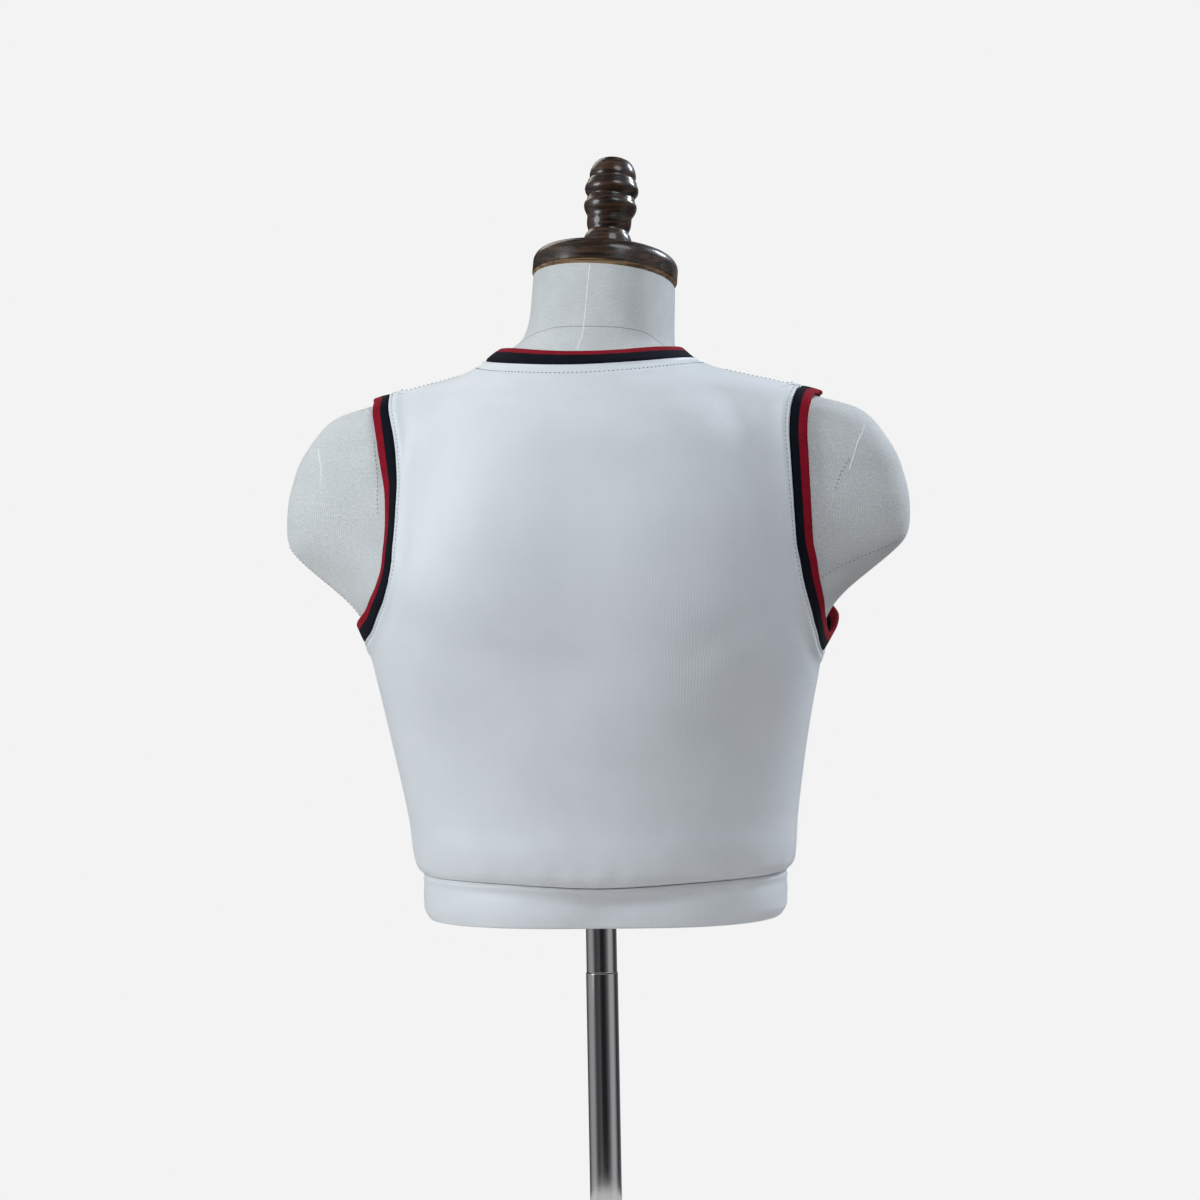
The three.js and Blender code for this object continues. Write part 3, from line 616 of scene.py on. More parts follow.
def woven_linen(add):
    flat = add("UVMap", uv_map="UVMap")
    wobble = add("TexNoise", {"Vector": flat, "Scale": 260, "Detail": 3}).outputs["Color"]
    moved = add("VectorMath", {0: wobble, 1: (0.0012, 0.0012, 0)}, operation="MULTIPLY")
    threads = {"Vector": add("VectorMath", {0: flat, 1: moved}, operation="ADD"), "Scale": waves(0.8)}
    warp, weft = (add("TexWave", threads, bands_direction=way).outputs["Fac"] for way in "XY")
    weave = add("Math", {0: warp, 1: weft}, operation="MAXIMUM")
    slub = add("TexNoise", {"Vector": flat, "Scale": 650, "Detail": 5, "Roughness": 0.65})
    height = add("Math", {0: weave, 1: slub}, operation="MULTIPLY")
    tone = add("TexNoise", {"Vector": flat, "Scale": 45, "Detail": 5})
    # The cloth's colour follows the weave's height as well as a random tone: the crowns of the threads are
    # paler and the gaps between them darker, a painted highlight and painted shade.
    tone_and_weave_shade = add("Math", {0: tone, 1: 0.3, 2: height}, operation="MULTIPLY_ADD")
    shade = add("MapRange", {"Value": tone_and_weave_shade, "From Min": 0.3, "From Max": 0.85})
    tint = add("Mix", {"Factor": shade, 6: colour("#C2C5C4"), 7: colour("#F0F2F1")}, data_type="RGBA")
    relief = add("Bump", {"Height": height, "Strength": 0.5, "Distance": 0.0008})
    return add("BsdfPrincipled", {
        "Base Color": tint.outputs[2], "Normal": relief, "Roughness": 0.88, "IOR": 1.5,
        "Specular IOR Level": 0.2, "Sheen Weight": 0.25, "Sheen Roughness": 0.5,
    })


linen = make_material("plain-woven linen", woven_linen)


# %% [markdown]
# ## The form's body
#
# One grid is wrapped right round the form. Its rows are spaced by the distance over the shoulder, so the
# flat tops of the caps get as many rows as the upright sides. Its columns crowd towards the caps.

# %% Form body
SIDE_CROWDING, EDGE_ROUND, FLAT_RADIUS = 0.22, 5, 110


def form_shape(s, t):
    even = HALF_TURN * (1 - 2 * s)
    angle = even + SIDE_CROWDING * np.sin(2 * even)
    z = np.interp(t, np.linspace(0, 1, len(form_levels)), form_levels)
    points = torso_point(z, angle)
    tuck = np.clip((FORM_LOW + EDGE_ROUND - z) / EDGE_ROUND, 0, 1)
    out = torso_normal(z, angle) * (1, 1, 0)
    points = points - unit(out) * (EDGE_ROUND * (1 - np.sqrt(1 - tuck**2)))[:, None]
    flat = np.stack([even * FLAT_RADIUS, form_lengths[-1] * t], axis=1)
    return points, flat


levels = np.linspace(FORM_LOW, NECK_TOP, 1600)
profiles = [torso_point(levels, angle) for angle in (0, SIDE)]
form_lengths = sum(length_along(profile) for profile in profiles) / 2
form_levels = np.interp(np.linspace(0, form_lengths[-1], 300), form_lengths, levels)
bm = bent_grid(200, 240, form_shape)
bmesh.ops.remove_doubles(bm, verts=bm.verts, dist=WELD)
bmesh.ops.holes_fill(bm, edges=[edge for edge in bm.edges if edge.is_boundary], sides=0)
form_body = make_piece("linen_form", bm, linen, "linen", "form_body", sharp=50)


# %% [markdown]
# ## White double knit
#
# The top's cloth is polyester double knit: two faces of fine loops locked together, so both sides are
# smooth and the cloth has body. It gives a soft, slow sheen and no sparkle. The columns of loops, the
# wales, are about 0.8 mm apart; they are drawn at twice that, and very shallow.

# %% Double knit
def double_knit(add):
    flat = add("UVMap", uv_map="UVMap")
    wobble = add("TexNoise", {"Vector": flat, "Scale": 120, "Detail": 2}).outputs["Color"]
    moved = add("VectorMath", {0: wobble, 1: (0.0008, 0.0008, 0)}, operation="MULTIPLY")
    loops = add("VectorMath", {0: flat, 1: moved}, operation="ADD")
    wales = add("TexWave", {"Vector": loops, "Scale": waves(1.6)}).outputs["Fac"]
    grain = add("TexNoise", {"Vector": flat, "Scale": 700, "Detail": 3})
    height = add("Math", {0: wales, 1: grain}, operation="ADD")
    relief = add("Bump", {"Height": height, "Strength": 0.16, "Distance": 0.0004})
    tone = add("TexNoise", {"Vector": flat, "Scale": 30, "Detail": 6})
    tint = add("Mix", {"Factor": tone, 6: colour("#D8DCDF"), 7: colour("#E5E8EA")}, data_type="RGBA")
    return add("BsdfPrincipled", {
        "Base Color": tint.outputs[2], "Normal": relief, "Roughness": 0.52, "IOR": 1.5,
        "Specular IOR Level": 0.45, "Sheen Weight": 0.2, "Sheen Roughness": 0.35,
    })


knit = make_material("polyester double knit", double_knit)

# %% [markdown]
# ## Creases and seams of the panels
#
# A real top is nearly smooth where it is stretched over the shoulder blades, and its shape comes from
# what is sewn: the trim's seam turns the panel's edge into a thin bright lip, the folded seam allowance
# underneath lifts a soft welt beside it, and a row of stitches sinks between the two. A few slow creases
# run from the neck and the underarms. Each is a line on the panel with a width and a depth of its own.

# %% Creases
CREASES = table(
    "side x0 z0 x1 z1 wide deep",  # side: 1 is the back, -1 the front; a negative depth is a trough
    (1, -58, 636, -112, 617, 7, 1.1),
    (1, -66, 622, -108, 603, 11, -0.6),
    (1, 70, 630, 112, 606, 9, 0.7),
    (1, -118, 480, -70, 452, 12, -0.9),
    (1, 116, 478, 66, 446, 14, -0.8),
    (1, -104, 330, -62, 338, 10, 0.8),
    (1, 88, 334, 20, 324, 12, 0.7),
    (1, 40, 352, -48, 344, 16, -0.6),
    (-1, 62, 612, 96, 566, 10, 0.9),
    (-1, -64, 610, -100, 560, 12, 0.8),
    (-1, 118, 478, 74, 452, 11, -1.3),
    (-1, -116, 482, -70, 450, 13, -1.2),
    (-1, 52, 410, 70, 344, 13, 0.9),
    (-1, -50, 408, -76, 340, 15, 1.0),
    (-1, 8, 400, -6, 336, 18, -0.9),
    (-1, 96, 332, 40, 340, 10, 0.9),
    (-1, -98, 334, -34, 326, 11, 0.8),
)


def creases_at(points, side):
    height = np.zeros(len(points))
    for k in np.flatnonzero(CREASES["side"] == side):
        x0, z0, x1, z1, wide, deep = (CREASES[name][k] for name in "x0 z0 x1 z1 wide deep".split())
        along = np.array([x1 - x0, z1 - z0])
        away = points[:, [0, 2]] - (x0, z0)
        share = away @ along / (along @ along)
        off = np.abs(away @ np.array([-along[1], along[0]])) / np.linalg.norm(along)
        height += deep * bump(off, wide) * smoothstep(share, -0.35, 0.25) * fade(share, 0.7, 1.3)
    return height


# %% Seam lips, welts and sunk stitches
ARMHOLE_STITCH, NECK_STITCH, SHOULDER_STITCH = 2.6, 8.0, 3.0  # distance of the stitches from each seam
ARMHOLE_WELT, NECK_WELT = 0.9, 0.25  # height of the welt that the seam allowance lifts
HEM_DIP, PUCKER = 0.5, 0.5  # the panels' edge goes down into the hem seam, and puckers above it


def edge_relief(distance, stitch_at, welt):
    lip = 0.75 * bump(distance - 1.1, 0.8) - 1.0 * bump(distance, 0.55)
    groove = -0.25 * bump(distance - stitch_at, 0.9)
    raised = welt * bump(distance - stitch_at - 2.6, 2.4)
    valley = -0.5 * welt * bump(distance - stitch_at - 10, 5.5)
    return lip + groove + raised + valley


def seam_relief(distance, is_front):
    groove = -0.8 * bump(distance, 0.8)
    allowance = 0 if is_front else 0.4 * bump(distance - 3, 2.2)
    return groove + allowance


# %% Lines of the seams
def knit_line(z, angle):
    return cloth_point(z, angle, ease_at(z, angle) + KNIT)


def armhole_places(hand, is_front, count=160):
    """Heights and angles of an armhole seam, evenly from the underarm up to the shoulder."""
    z = np.concatenate([np.linspace(underarm(hand), 480, 60), np.linspace(481, SHOULDER_END, 90)])
    angle = hand * panel_side(z, hand, is_front)
    return evenly(knit_line(z, angle), count, z, angle)


def neck_places(is_front, count=161):
    """Heights and angles of the neckline seam, from the wearer's left neck point to the right one."""
    if is_front:
        z, angle = scoop_line(200)
        z, angle = np.concatenate([z[:0:-1], z]), np.concatenate([angle[:0:-1], FULL_TURN - angle])
    else:
        angle = np.linspace(SIDE, -SIDE, 200)
        z = NECK_POINT - neck_dip(NECK_POINT, angle)
    return evenly(knit_line(z, angle), count, z, angle)


EDGE_LINES, PLAIN_LINES = {}, []
for is_front in (False, True):
    armholes = [knit_line(*armhole_places(hand, is_front)) for hand in (1, -1)]
    EDGE_LINES[is_front] = (armholes, knit_line(*neck_places(is_front)))
for hand in (1, -1):
    for low, high in ((HEM_SEAM, underarm(hand)), (SHOULDER_END, NECK_POINT)):
        z = np.linspace(low, high, 40)
        PLAIN_LINES.append(knit_line(z, np.full(40, hand * SIDE)))


def panel_points(z, angle, is_front):
    """The knit's outer face, with its seams and creases."""
    height = ease_at(z, angle) + KNIT
    plain = cloth_point(z, angle, height)
    armholes, neckline = EDGE_LINES[is_front]
    relief = creases_at(plain, -1 if is_front else 1)
    for line in armholes:
        relief += edge_relief(distance_to(plain, line), ARMHOLE_STITCH, ARMHOLE_WELT)
    relief += edge_relief(distance_to(plain, neckline), NECK_STITCH, NECK_WELT)
    for line in PLAIN_LINES:
        relief += seam_relief(distance_to(plain, line), is_front)
    relief -= HEM_DIP * bump(z - HEM_SEAM, 2.2)
    relief += PUCKER * np.sin(23 * angle + 1) * np.sin(7 * angle) * bump(z - HEM_SEAM - 6, 6)
    return cloth_point(z, angle, height + relief)


# %% [markdown]
# ## Back and front panels
#
# The back is one grid from the hem seam to the neckline. Its outer columns bend with the armhole while
# its middle columns stay straight, as the wales of the real cloth do. The front is two half grids that
# are welded down the middle and part at the scoop of the neckline.

# %% Rows of the panels
PANEL_ROWS = [
    HEM_SEAM + SEAM_GAP / 2, 314, 317, 320, 324, 330, 336, 344, 352, 361, 370, 380, 390, 400, 410, 419, 428,
    437, 445, 452, UNDERARM, 460.5, 463, 468, 475, 484, 495, 508, 522, 537, 550, SCOOP_LOW,
]
UPPER_ROWS = [568, 577, 585, 593, 600, 606, 611, 615, 617.3, SHOULDER_END]
SHOULDER_ROWS = [621.5, 625, 629, 632.5, 635, 637, NECK_POINT]
EDGE_BEND, EDGE_ORDER = 3, 0.8
ROW_SPLIT = 5  # rows of faces from one height in the lists to the next
FLAT_WIDE, FLAT_TALL, PANEL_WALL = 160, 380, 1.2


def row_height(t, rows):
    return np.interp(t, np.linspace(0, 1, len(rows)), rows)


# %% Back panel
BACK_ROWS = PANEL_ROWS + UPPER_ROWS + SHOULDER_ROWS


def back_shape(s, t):
    even = 1 - 2 * s
    share = 0.3 * even + 0.7 * np.sin(SIDE * even)  # columns stand closer together towards the sides
    z = row_height(t, BACK_ROWS)
    side = np.where(share >= 0, panel_side(z, 1, False), panel_side(z, -1, False))
    angle = share * SIDE + np.sign(share) * (side - SIDE) * np.abs(share) ** EDGE_BEND
    z = z - neck_dip(z, angle)
    flat = np.stack([(1 - share) * FLAT_WIDE, FLAT_TALL * t], axis=1)
    return panel_points(z, angle, False), flat


bm = bent_grid(150, ROW_SPLIT * (len(BACK_ROWS) - 1), back_shape)
back_panel = make_piece("back_of_top", bm, knit, "white_knit", "back_panel", wall=PANEL_WALL)


# %% Front panel
FRONT_ROWS = PANEL_ROWS + UPPER_ROWS
SCOOP_Z, SCOOP_ANGLE = scoop_line(200)
SCOOP_FROM = (len(PANEL_ROWS) - 1) / (len(FRONT_ROWS) - 1)


def front_shape(s, t, hand):
    even = s if hand > 0 else 1 - s
    share = even - 0.75 * np.sin(FULL_TURN * even) / (FULL_TURN)  # closer together at both ends
    z = row_height(t, FRONT_ROWS)
    step = np.clip((t - SCOOP_FROM) / (1 - SCOOP_FROM), 0, 1)
    along_scoop = np.linspace(0, 1, len(SCOOP_Z))
    inner_z = np.where(step > 0, np.interp(step, along_scoop, SCOOP_Z), z)
    inner = np.where(step > 0, np.interp(step, along_scoop, SCOOP_ANGLE), HALF_TURN)
    side = panel_side(z, hand, True)
    bend = np.clip(EDGE_ORDER * (inner - SIDE) / (side - SIDE), 1, EDGE_BEND)
    angle = inner + (SIDE - inner) * share + (side - SIDE) * share**bend
    z = inner_z + (z - inner_z) * share
    flat = np.stack([hand * FLAT_WIDE * share, FLAT_TALL * t], axis=1)
    return panel_points(z, hand * angle, True), flat


bm = bmesh.new()
for hand in (1, -1):
    bent_grid(90, ROW_SPLIT * (len(FRONT_ROWS) - 1), lambda s, t: front_shape(s, t, hand), bm)
front_panel = make_piece("front_of_top", bm, knit, "white_knit", "front_panel", wall=PANEL_WALL)


# %% [markdown]
# ## Rib trim in two colours
#
# The trim at the neck and armholes is one by one rib knit, striped navy and red in the knitting. A strip
# is folded along its length, and both raw edges go into the seam, so the free edge is a soft round fold.
# Each trim here is that folded strip: one grid goes out over the form from the seam, turns over the fold
# and comes back underneath. Its flat map runs right across the strip, so the stripes meet at the fold.

# %% Rib knit
RIB_WIDE = 13  # free width of the trim


def striped_rib(add, red_wide):
    """Navy rib with red for this many mm on each side of the fold."""
    flat = add("UVMap", uv_map="UVMap")
    ribs = add("TexWave", {"Vector": flat, "Scale": waves(1.3), "Distortion": 0.4}).outputs["Fac"]
    loops = add("TexWave", {"Vector": flat, "Scale": waves(1.1)}, bands_direction="Y").outputs["Fac"]
    height = add("Math", {0: ribs, 1: loops, 2: 0.35}, operation="MULTIPLY_ADD")
    across = add("SeparateXYZ", {0: flat}).outputs["Y"]
    from_fold = add("Math", {0: across, 1: RIB_WIDE * MM}, operation="SUBTRACT")
    reach = add("Math", {0: from_fold}, operation="ABSOLUTE")
    ragged = add("Math", {0: ribs, 1: 0.00025, 2: reach}, operation="MULTIPLY_ADD")
    blend = {"From Min": (red_wide - 0.05) * MM, "From Max": (red_wide + 0.3) * MM}
    is_navy = add("MapRange", {"Value": ragged, **blend})
    tone = add("TexNoise", {"Vector": flat, "Scale": 90, "Detail": 4})
    # The yarn's colour follows the rib's height, times a random tone: darker in the grooves between the ribs
    # and paler on their crowns, painted shade and painted highlight.
    groove_shade_and_tone = add("Math", {0: height, 1: tone}, operation="MULTIPLY")
    navy = add("Mix", {"Factor": groove_shade_and_tone, 6: colour("#05070D"), 7: colour("#161C2C")}, data_type="RGBA")
    red = add("Mix", {"Factor": groove_shade_and_tone, 6: colour("#74081A"), 7: colour("#B81E34")}, data_type="RGBA")
    yarn = add("Mix", {"Factor": is_navy, 6: red.outputs[2], 7: navy.outputs[2]}, data_type="RGBA")
    relief = add("Bump", {"Height": height, "Strength": 0.5, "Distance": 0.0005})
    return add("BsdfPrincipled", {
        "Base Color": yarn.outputs[2], "Normal": relief, "Roughness": 0.85, "IOR": 1.5,
        "Specular IOR Level": 0.12, "Sheen Weight": 0.02, "Sheen Roughness": 0.4,
    })


armhole_knit = make_material("striped rib knit, wide red", striped_rib, 5.6)
neck_knit = make_material("striped rib knit, narrow red", striped_rib, 4.6)


# %% A folded strip along a seam
TRIM_WIDE = table(
    "z left right",
    (452, 14, 12),
    (486, 14, 12.4),
    (530, 12.8, 11.6),
    (585, 12.3, 11.1),
    (618, 10, 11.1),
)
RIB_WALL = 0.85
RIB_DRAW = 0.2  # the free edge is drawn this share closer to the form than the seam
FRONT_LIFT, LIFT_TALL, LIFT_FROM, LIFT_TO = 6, 42, -0.25, 0.3
TURN_SPREAD = 8  # the trim turns a corner over this many places of its seam
FOLD_SHARE = 0.08  # share of the strip's flat width that goes round the fold


def folded(t, wide, thick):
    """Across a strip folded double: distance from the seam, and height off its inner face."""
    radius = thick / 2
    to_fold = 0.5 - FOLD_SHARE / 2
    turn = np.clip((t - to_fold) / FOLD_SHARE, 0, 1) * HALF_TURN
    straight = np.minimum(np.minimum(t, 1 - t) / to_fold, 1)
    reach = (wide - radius) * straight + radius * np.sin(turn)
    return reach, radius + radius * np.cos(turn)


def front_lift(z, angle):
    """In front of the underarm the armhole trim stands off the form."""
    forward = smoothstep(np.abs(angle) - SIDE, LIFT_FROM, LIFT_TO)
    return FRONT_LIFT * forward * bump(z - UNDERARM, LIFT_TALL)


def away_from_panel(loop):
    """Directions over the form, square to a closed seam, from the panel to the trim."""
    z, angle = (values[:-1] for values in loop)
    seam = cloth_point(z, angle, ease_at(z, angle))
    along = unit(np.roll(seam, -1, axis=0) - np.roll(seam, 1, axis=0))
    outward = unit(np.cross(torso_normal(z, angle), along))
    shifts = np.arange(-3 * TURN_SPREAD, 3 * TURN_SPREAD + 1)
    return unit(sum(np.roll(outward, k, axis=0) * bump(k, TURN_SPREAD) for k in shifts))


def rib_shape(s, t, loop, wide, lift):
    count = len(loop[0]) - 1
    around = np.round(s * count).astype(int)
    here = around % count
    z0, angle0 = (values[here] for values in loop)
    reach, rise = folded(t, wide[here] + SEAM_GAP, RIB_THICK)
    z, angle = walk(z0, angle0, away_from_panel(loop)[here], reach + 0.05)
    share = reach / RIB_WIDE
    crown = 0.35 * np.sin(HALF_TURN * np.clip(share, 0, 1)) - 0.9 * bump(reach, 1.1)
    height = ease_at(z0, angle0) * (1 - RIB_DRAW * share) + lift[here] * share
    height = height + rise + crown * np.clip(2 * rise / RIB_THICK - 1, 0, 1)
    length = length_along(cloth_point(*loop, ease_at(*loop)))
    flat = np.stack([length[around], RIB_WIDE + (2 * t - 1) * wide[here]], axis=1)
    return cloth_point(z, angle, height), flat


def rib_trim(place, material, node, loop, wide, lift):
    """A folded strip along a closed seam, with its width and its lift off the form at each place."""
    bm = bent_grid(len(loop[0]) - 1, 44, lambda s, t: rib_shape(s, t, loop, wide, lift))
    return make_piece(f"{place}_trim", bm, material, "striped_rib", node, wall=RIB_WALL)


# %% Armhole trims
def armhole_wide(z, angle):
    """Width of the trim that shows: the seam takes up a little more of the strip towards the shoulder."""
    return np.where(angle > 0, look_up(TRIM_WIDE, "left", z), look_up(TRIM_WIDE, "right", z))


def armhole_loop(hand):
    """Places of the whole armhole seam: up the back and down the front, or the other way on the right."""
    back, front = (armhole_places(hand, is_front, 141) for is_front in (False, True))
    loop = [np.concatenate([b[:-1], f[:0:-1], b[:1]]) for b, f in zip(back, front)]
    return loop if hand > 0 else [values[::-1] for values in loop]


armhole_loops = {"left": armhole_loop(1), "right": armhole_loop(-1)}
armhole_trims = []
for side, loop in armhole_loops.items():
    node, wide, lift = f"armhole_rib_{side}", armhole_wide(*loop), front_lift(*loop)
    armhole_trims.append(rib_trim(f"{side}_armhole", armhole_knit, node, loop, wide, lift))

# %% Neck trim
back, front = neck_places(False, 121), neck_places(True, 181)
neck_loop = [
    np.concatenate([back[0][:-1], front[0][::-1]]),
    np.concatenate([back[1][:-1], front[1][::-1] - FULL_TURN]),
]
neck_loop[1][-1] = neck_loop[1][0] - FULL_TURN
neck_lift = np.zeros(len(neck_loop[0]))
neck_trim = rib_trim("neck", neck_knit, "neck_rib", neck_loop, neck_lift + RIB_WIDE, neck_lift)


# %% [markdown]
# ## Hem band
#
# The band is a tube of the same knit, folded double, with its fold at the bottom and both raw edges in
# the seam above. The panels blouse over it a little, so it tucks in under them.

# %% Hem band
BAND_SEAM, BAND_WALL, BAND_LONG = HEM_SEAM - SEAM_GAP / 2, 0.95, 700
BAND_TUCK, BAND_FULL, BAND_CORNER, BAND_SAG_TALL = 2.3, 0.8, 7, 12


def band_shape(s, t):
    angle = HALF_TURN * (1 - 2 * s)
    reach, rise = folded(1 - t, BAND_SEAM - HEM_LOW, BAND_THICK)
    z = BAND_SEAM - reach
    base = np.maximum(z, FORM_LOW)
    outer = np.clip(2 * rise / BAND_THICK - 1, 0, 1)
    at_side = bump(off_front(angle) - 90, 26)
    # The band is drawn in below the seam, less at the sides, and its sewn edge goes in under the panels.
    tuck = (1 - 0.6 * at_side) * (1.6 * bump(reach - 5, 7) + 0.8 * outer * bump(reach - 7, 5))
    tuck += BAND_TUCK * outer * fade(reach, 0, 3.5)
    # Halfway down it is full and a little uneven, and at the sides its lower corners turn in.
    slow, quick = np.sin(3 * angle + 1) * np.sin(5 * angle), np.sin(11 * angle) * np.sin(2 * angle + 2)
    full = outer * (BAND_FULL + (0.5 * slow + 0.3 * quick) - 0.7 * at_side) * bump(reach - 23, 8)
    corner = BAND_CORNER * at_side * smoothstep(reach, 24, 38)
    points = cloth_point(base, angle, ease_at(base, angle) + rise - tuck + full - corner)
    # Its upper edge hangs with the panels, and the line of its fold wavers.
    fold_waver = 0.25 * np.sin(2 * angle + 0.6) * smoothstep(reach, 15, 30)
    points[:, 2] = z - seam_sag(angle) * bump(reach, BAND_SAG_TALL) + fold_waver
    points[:, 2] += 0.6 * outer * fade(reach, 0, 2)
    return points, np.stack([s * BAND_LONG, 2 * (BAND_SEAM - HEM_LOW) * t], axis=1)


bm = bent_grid(320, 60, band_shape)
hem_band = make_piece("hem_band_of_top", bm, knit, "white_knit", "hem_band", wall=BAND_WALL)


# %% [markdown]
# ## Stitches
#
# Each seam is held down by a row of lockstitch beside it. Real stitches are a little over 2 mm apart, and
# these nearly 3 mm, so that each still shows. From close by, a stitch is a short rounded length of thread
# that sinks into the cloth at both ends. One coarse ball stretched along the seam is enough for each, and
# all that are sewn with one thread are joined into one piece.

# %% Sewing thread
STITCH_PITCH, STITCH_LONG, THREAD_WIDE, STITCH_PROUD = 2.9, 1.4, 0.7, 0.08


def sewing_thread(add, code):
    """Spun polyester: matt, with a short bright line along each stitch."""
    place = add("TexCoord").outputs["Object"]
    fuzz = add("TexNoise", {"Vector": place, "Scale": 2500, "Detail": 2})
    relief = add("Bump", {"Height": fuzz, "Strength": 0.3, "Distance": 0.0001})
    return add("BsdfPrincipled", {
        "Base Color": colour(code), "Normal": relief, "Roughness": 0.6, "IOR": 1.5,
    })


def stitch_row(points, normals, rng):
    """Places of stitches along a line of points, each a little off its spot: the middle, and three axes."""
    length = length_along(points)
    middle = np.arange(STITCH_PITCH / 2, length[-1], STITCH_PITCH)

    def at(shift, values):
        return np.stack([np.interp(middle + shift, length, values[:, k]) for k in range(3)], axis=1)

    along, up = unit(at(0.5, points) - at(-0.5, points)), unit(at(0, normals))
    side = unit(np.cross(along, up))
    along = unit(along + side * rng.normal(0, 0.05, (len(middle), 1)))
    centre = at(0, points) + up * STITCH_PROUD + side * rng.normal(0, 0.04, (len(middle), 1))
    return centre, np.stack([side * THREAD_WIDE / 2, up * THREAD_WIDE / 2, along * STITCH_LONG / 2], axis=1)


def join_stitches(rows):
    """A bmesh of one small ball, copied to every stitch and stretched along its axes."""
    bm = bmesh.new()
    bmesh.ops.create_uvsphere(bm, u_segments=6, v_segments=5, radius=1)
    ball = np.array([vert.co for vert in bm.verts])
    faces = [[vert.index for vert in face.verts] for face in bm.faces]
    bm.free()
    centres, axes = (np.concatenate(part) for part in zip(*rows))
    points = (centres[:, None] + ball @ axes) * MM
    mesh = bpy.data.meshes.new("stitches")
    starts = range(0, len(points) * len(ball), len(ball))
    all_faces = [[i + start for i in face] for start in starts for face in faces]
    mesh.from_pydata(points.reshape(-1, 3), [], all_faces)
    bm = bmesh.new()
    bm.from_mesh(mesh)
    bpy.data.meshes.remove(mesh)
    print(len(centres), "stitches")
    return bm


# %% Rows of stitches on the knit
rng = np.random.default_rng(7)


def stitches_beside(z, angle, direction, distance):
    """A row of stitches on the knit's outer face, this far from a seam."""
    z, angle = walk(z, angle, direction, distance)
    is_front = (np.cos(angle) < 0)[:, None]
    points = np.where(is_front, panel_points(z, angle, True), panel_points(z, angle, False))
    return stitch_row(points, cloth_normal(z, angle), rng)


loops = [*armhole_loops.values(), neck_loop]
distances = [ARMHOLE_STITCH, ARMHOLE_STITCH, NECK_STITCH]
rows = [
    stitches_beside(*(values[:-1] for values in loop), -away_from_panel(loop), distance)
    for loop, distance in zip(loops, distances)
]
z = np.linspace(SHOULDER_END + 1, NECK_POINT - 9, 60)
towards_back = np.tile([0.0, 1.0, 0.0], (60, 1))
for hand in (1, -1):
    rows.append(stitches_beside(z, np.full(60, hand * SIDE), towards_back, SHOULDER_STITCH))
# The thread at the neck and shoulders is drawn grey, well darker than the knit: partly the thread's own
# colour and partly painted shade of the needle holes that the stitches sink into.
grey_thread_and_hole_shade = make_material("grey polyester thread, darkened as painted shade", sewing_thread, "#63707E")
pale_thread = make_material("pale polyester sewing thread", sewing_thread, "#A3AEB8")
make_piece("seam_stitches", join_stitches(rows[2:]), grey_thread_and_hole_shade, "white_knit")
make_piece("armhole_stitches", join_stitches(rows[:2]), pale_thread, "white_knit")


# %% [markdown]
# ## Seams of the form's cover
#
# The linen cover is sewn from shaped panels. Some seams stand up as fine ridges and some show as a row of
# small stitches. The ridges are thin tubes half sunk in the form, made from a grid wrapped round a line,
# and each seam is a few places given by height and angle.

# %% Lines on the form
def form_line(places, count=60):
    """Points and normals of the form along a smooth line through (height, degrees)."""
    z, degrees = np.array(places, float).T
    knots = np.arange(len(places))
    rows = [{"z": knots, "value": values} for values in (z, np.radians(degrees))]
    z, angle = (look_up(row, "value", np.linspace(0, knots[-1], count)) for row in rows)
    return torso_point(z, angle), torso_normal(z, angle)


RIDGES = {
    "centre back of neck": [(691, 2), (676, 3.5), (662, 4), (636, 0)],
    "left cap": [(588, 83), (576, 81), (562, 80)],
    "right cap": [(597, -84), (584, -81), (568, -79)],
}
DARK_SEAMS = {
    "neck base": [
        (643, 75), (652, 60), (655, 44), (657, 22), (657, 3), (657, -18), (656, -41), (648, -67), (640, -80),
    ],
}
STITCHED_SEAMS = {
    "left cap, by the armhole": [(592, 75.5), (570, 73), (544, 71)],
    "left cap, underside": [(524, 88), (508, 85.5), (492, 84), (476, 83.5)],
    "right cap, underside": [(526, -88), (516, -83), (506, -79), (496, -76)],
    "right cap": [(576, -79.5), (566, -78), (556, -77)],
}


# %% Ridges and stitches of the cover
def ridge(bm, points, normals, radius, sunk):
    def shape(s, t):
        at = np.round(s * (len(points) - 1)).astype(int)
        along = unit(np.gradient(points, axis=0))[at]
        side = unit(np.cross(normals[at], along))
        turn = FULL_TURN * t
        ring = normals[at] * np.sin(turn)[:, None] + side * np.cos(turn)[:, None]
        taper = np.sqrt(np.clip(np.sin(HALF_TURN * s) * 12, 0, 1))
        place = points[at] - normals[at] * sunk + ring * radius * taper[:, None]
        return place, np.stack([s * 60, t * 2], axis=1)
    bent_grid(len(points) - 1, 10, shape, bm)


bm = bmesh.new()
for places in RIDGES.values():
    ridge(bm, *form_line(places), 0.45, 0.2)
# The ridges are drawn near white, whiter than the linen around them: a painted highlight along the lit side
# of each seam ridge.
ridge_highlight_white = make_material("linen ridge, painted highlight white", sewing_thread, "#F4F4F0")
make_piece("cover_seam_ridges", bm, ridge_highlight_white, "linen")
cover_thread = make_material("linen thread", sewing_thread, "#9C948A")
bm = join_stitches([stitch_row(*form_line(places), rng) for places in STITCHED_SEAMS.values()])
for places in DARK_SEAMS.values():
    ridge(bm, *form_line(places, 120), 0.24, 0.1)
make_piece("cover_seam_stitches", bm, cover_thread, "linen")


# %% [markdown]
# ## Turned walnut
#
# The neck is closed by a walnut disc with a turned finial, both on the neck's leaning cut face. On a
# lathe such a piece is its outline turned round an axis, and spin does just that. The wood is stained
# nearly black-brown and lacquered, so the grain shows only as dark streaks under sharp highlights. The
# underside of the disc is bare, and paler.

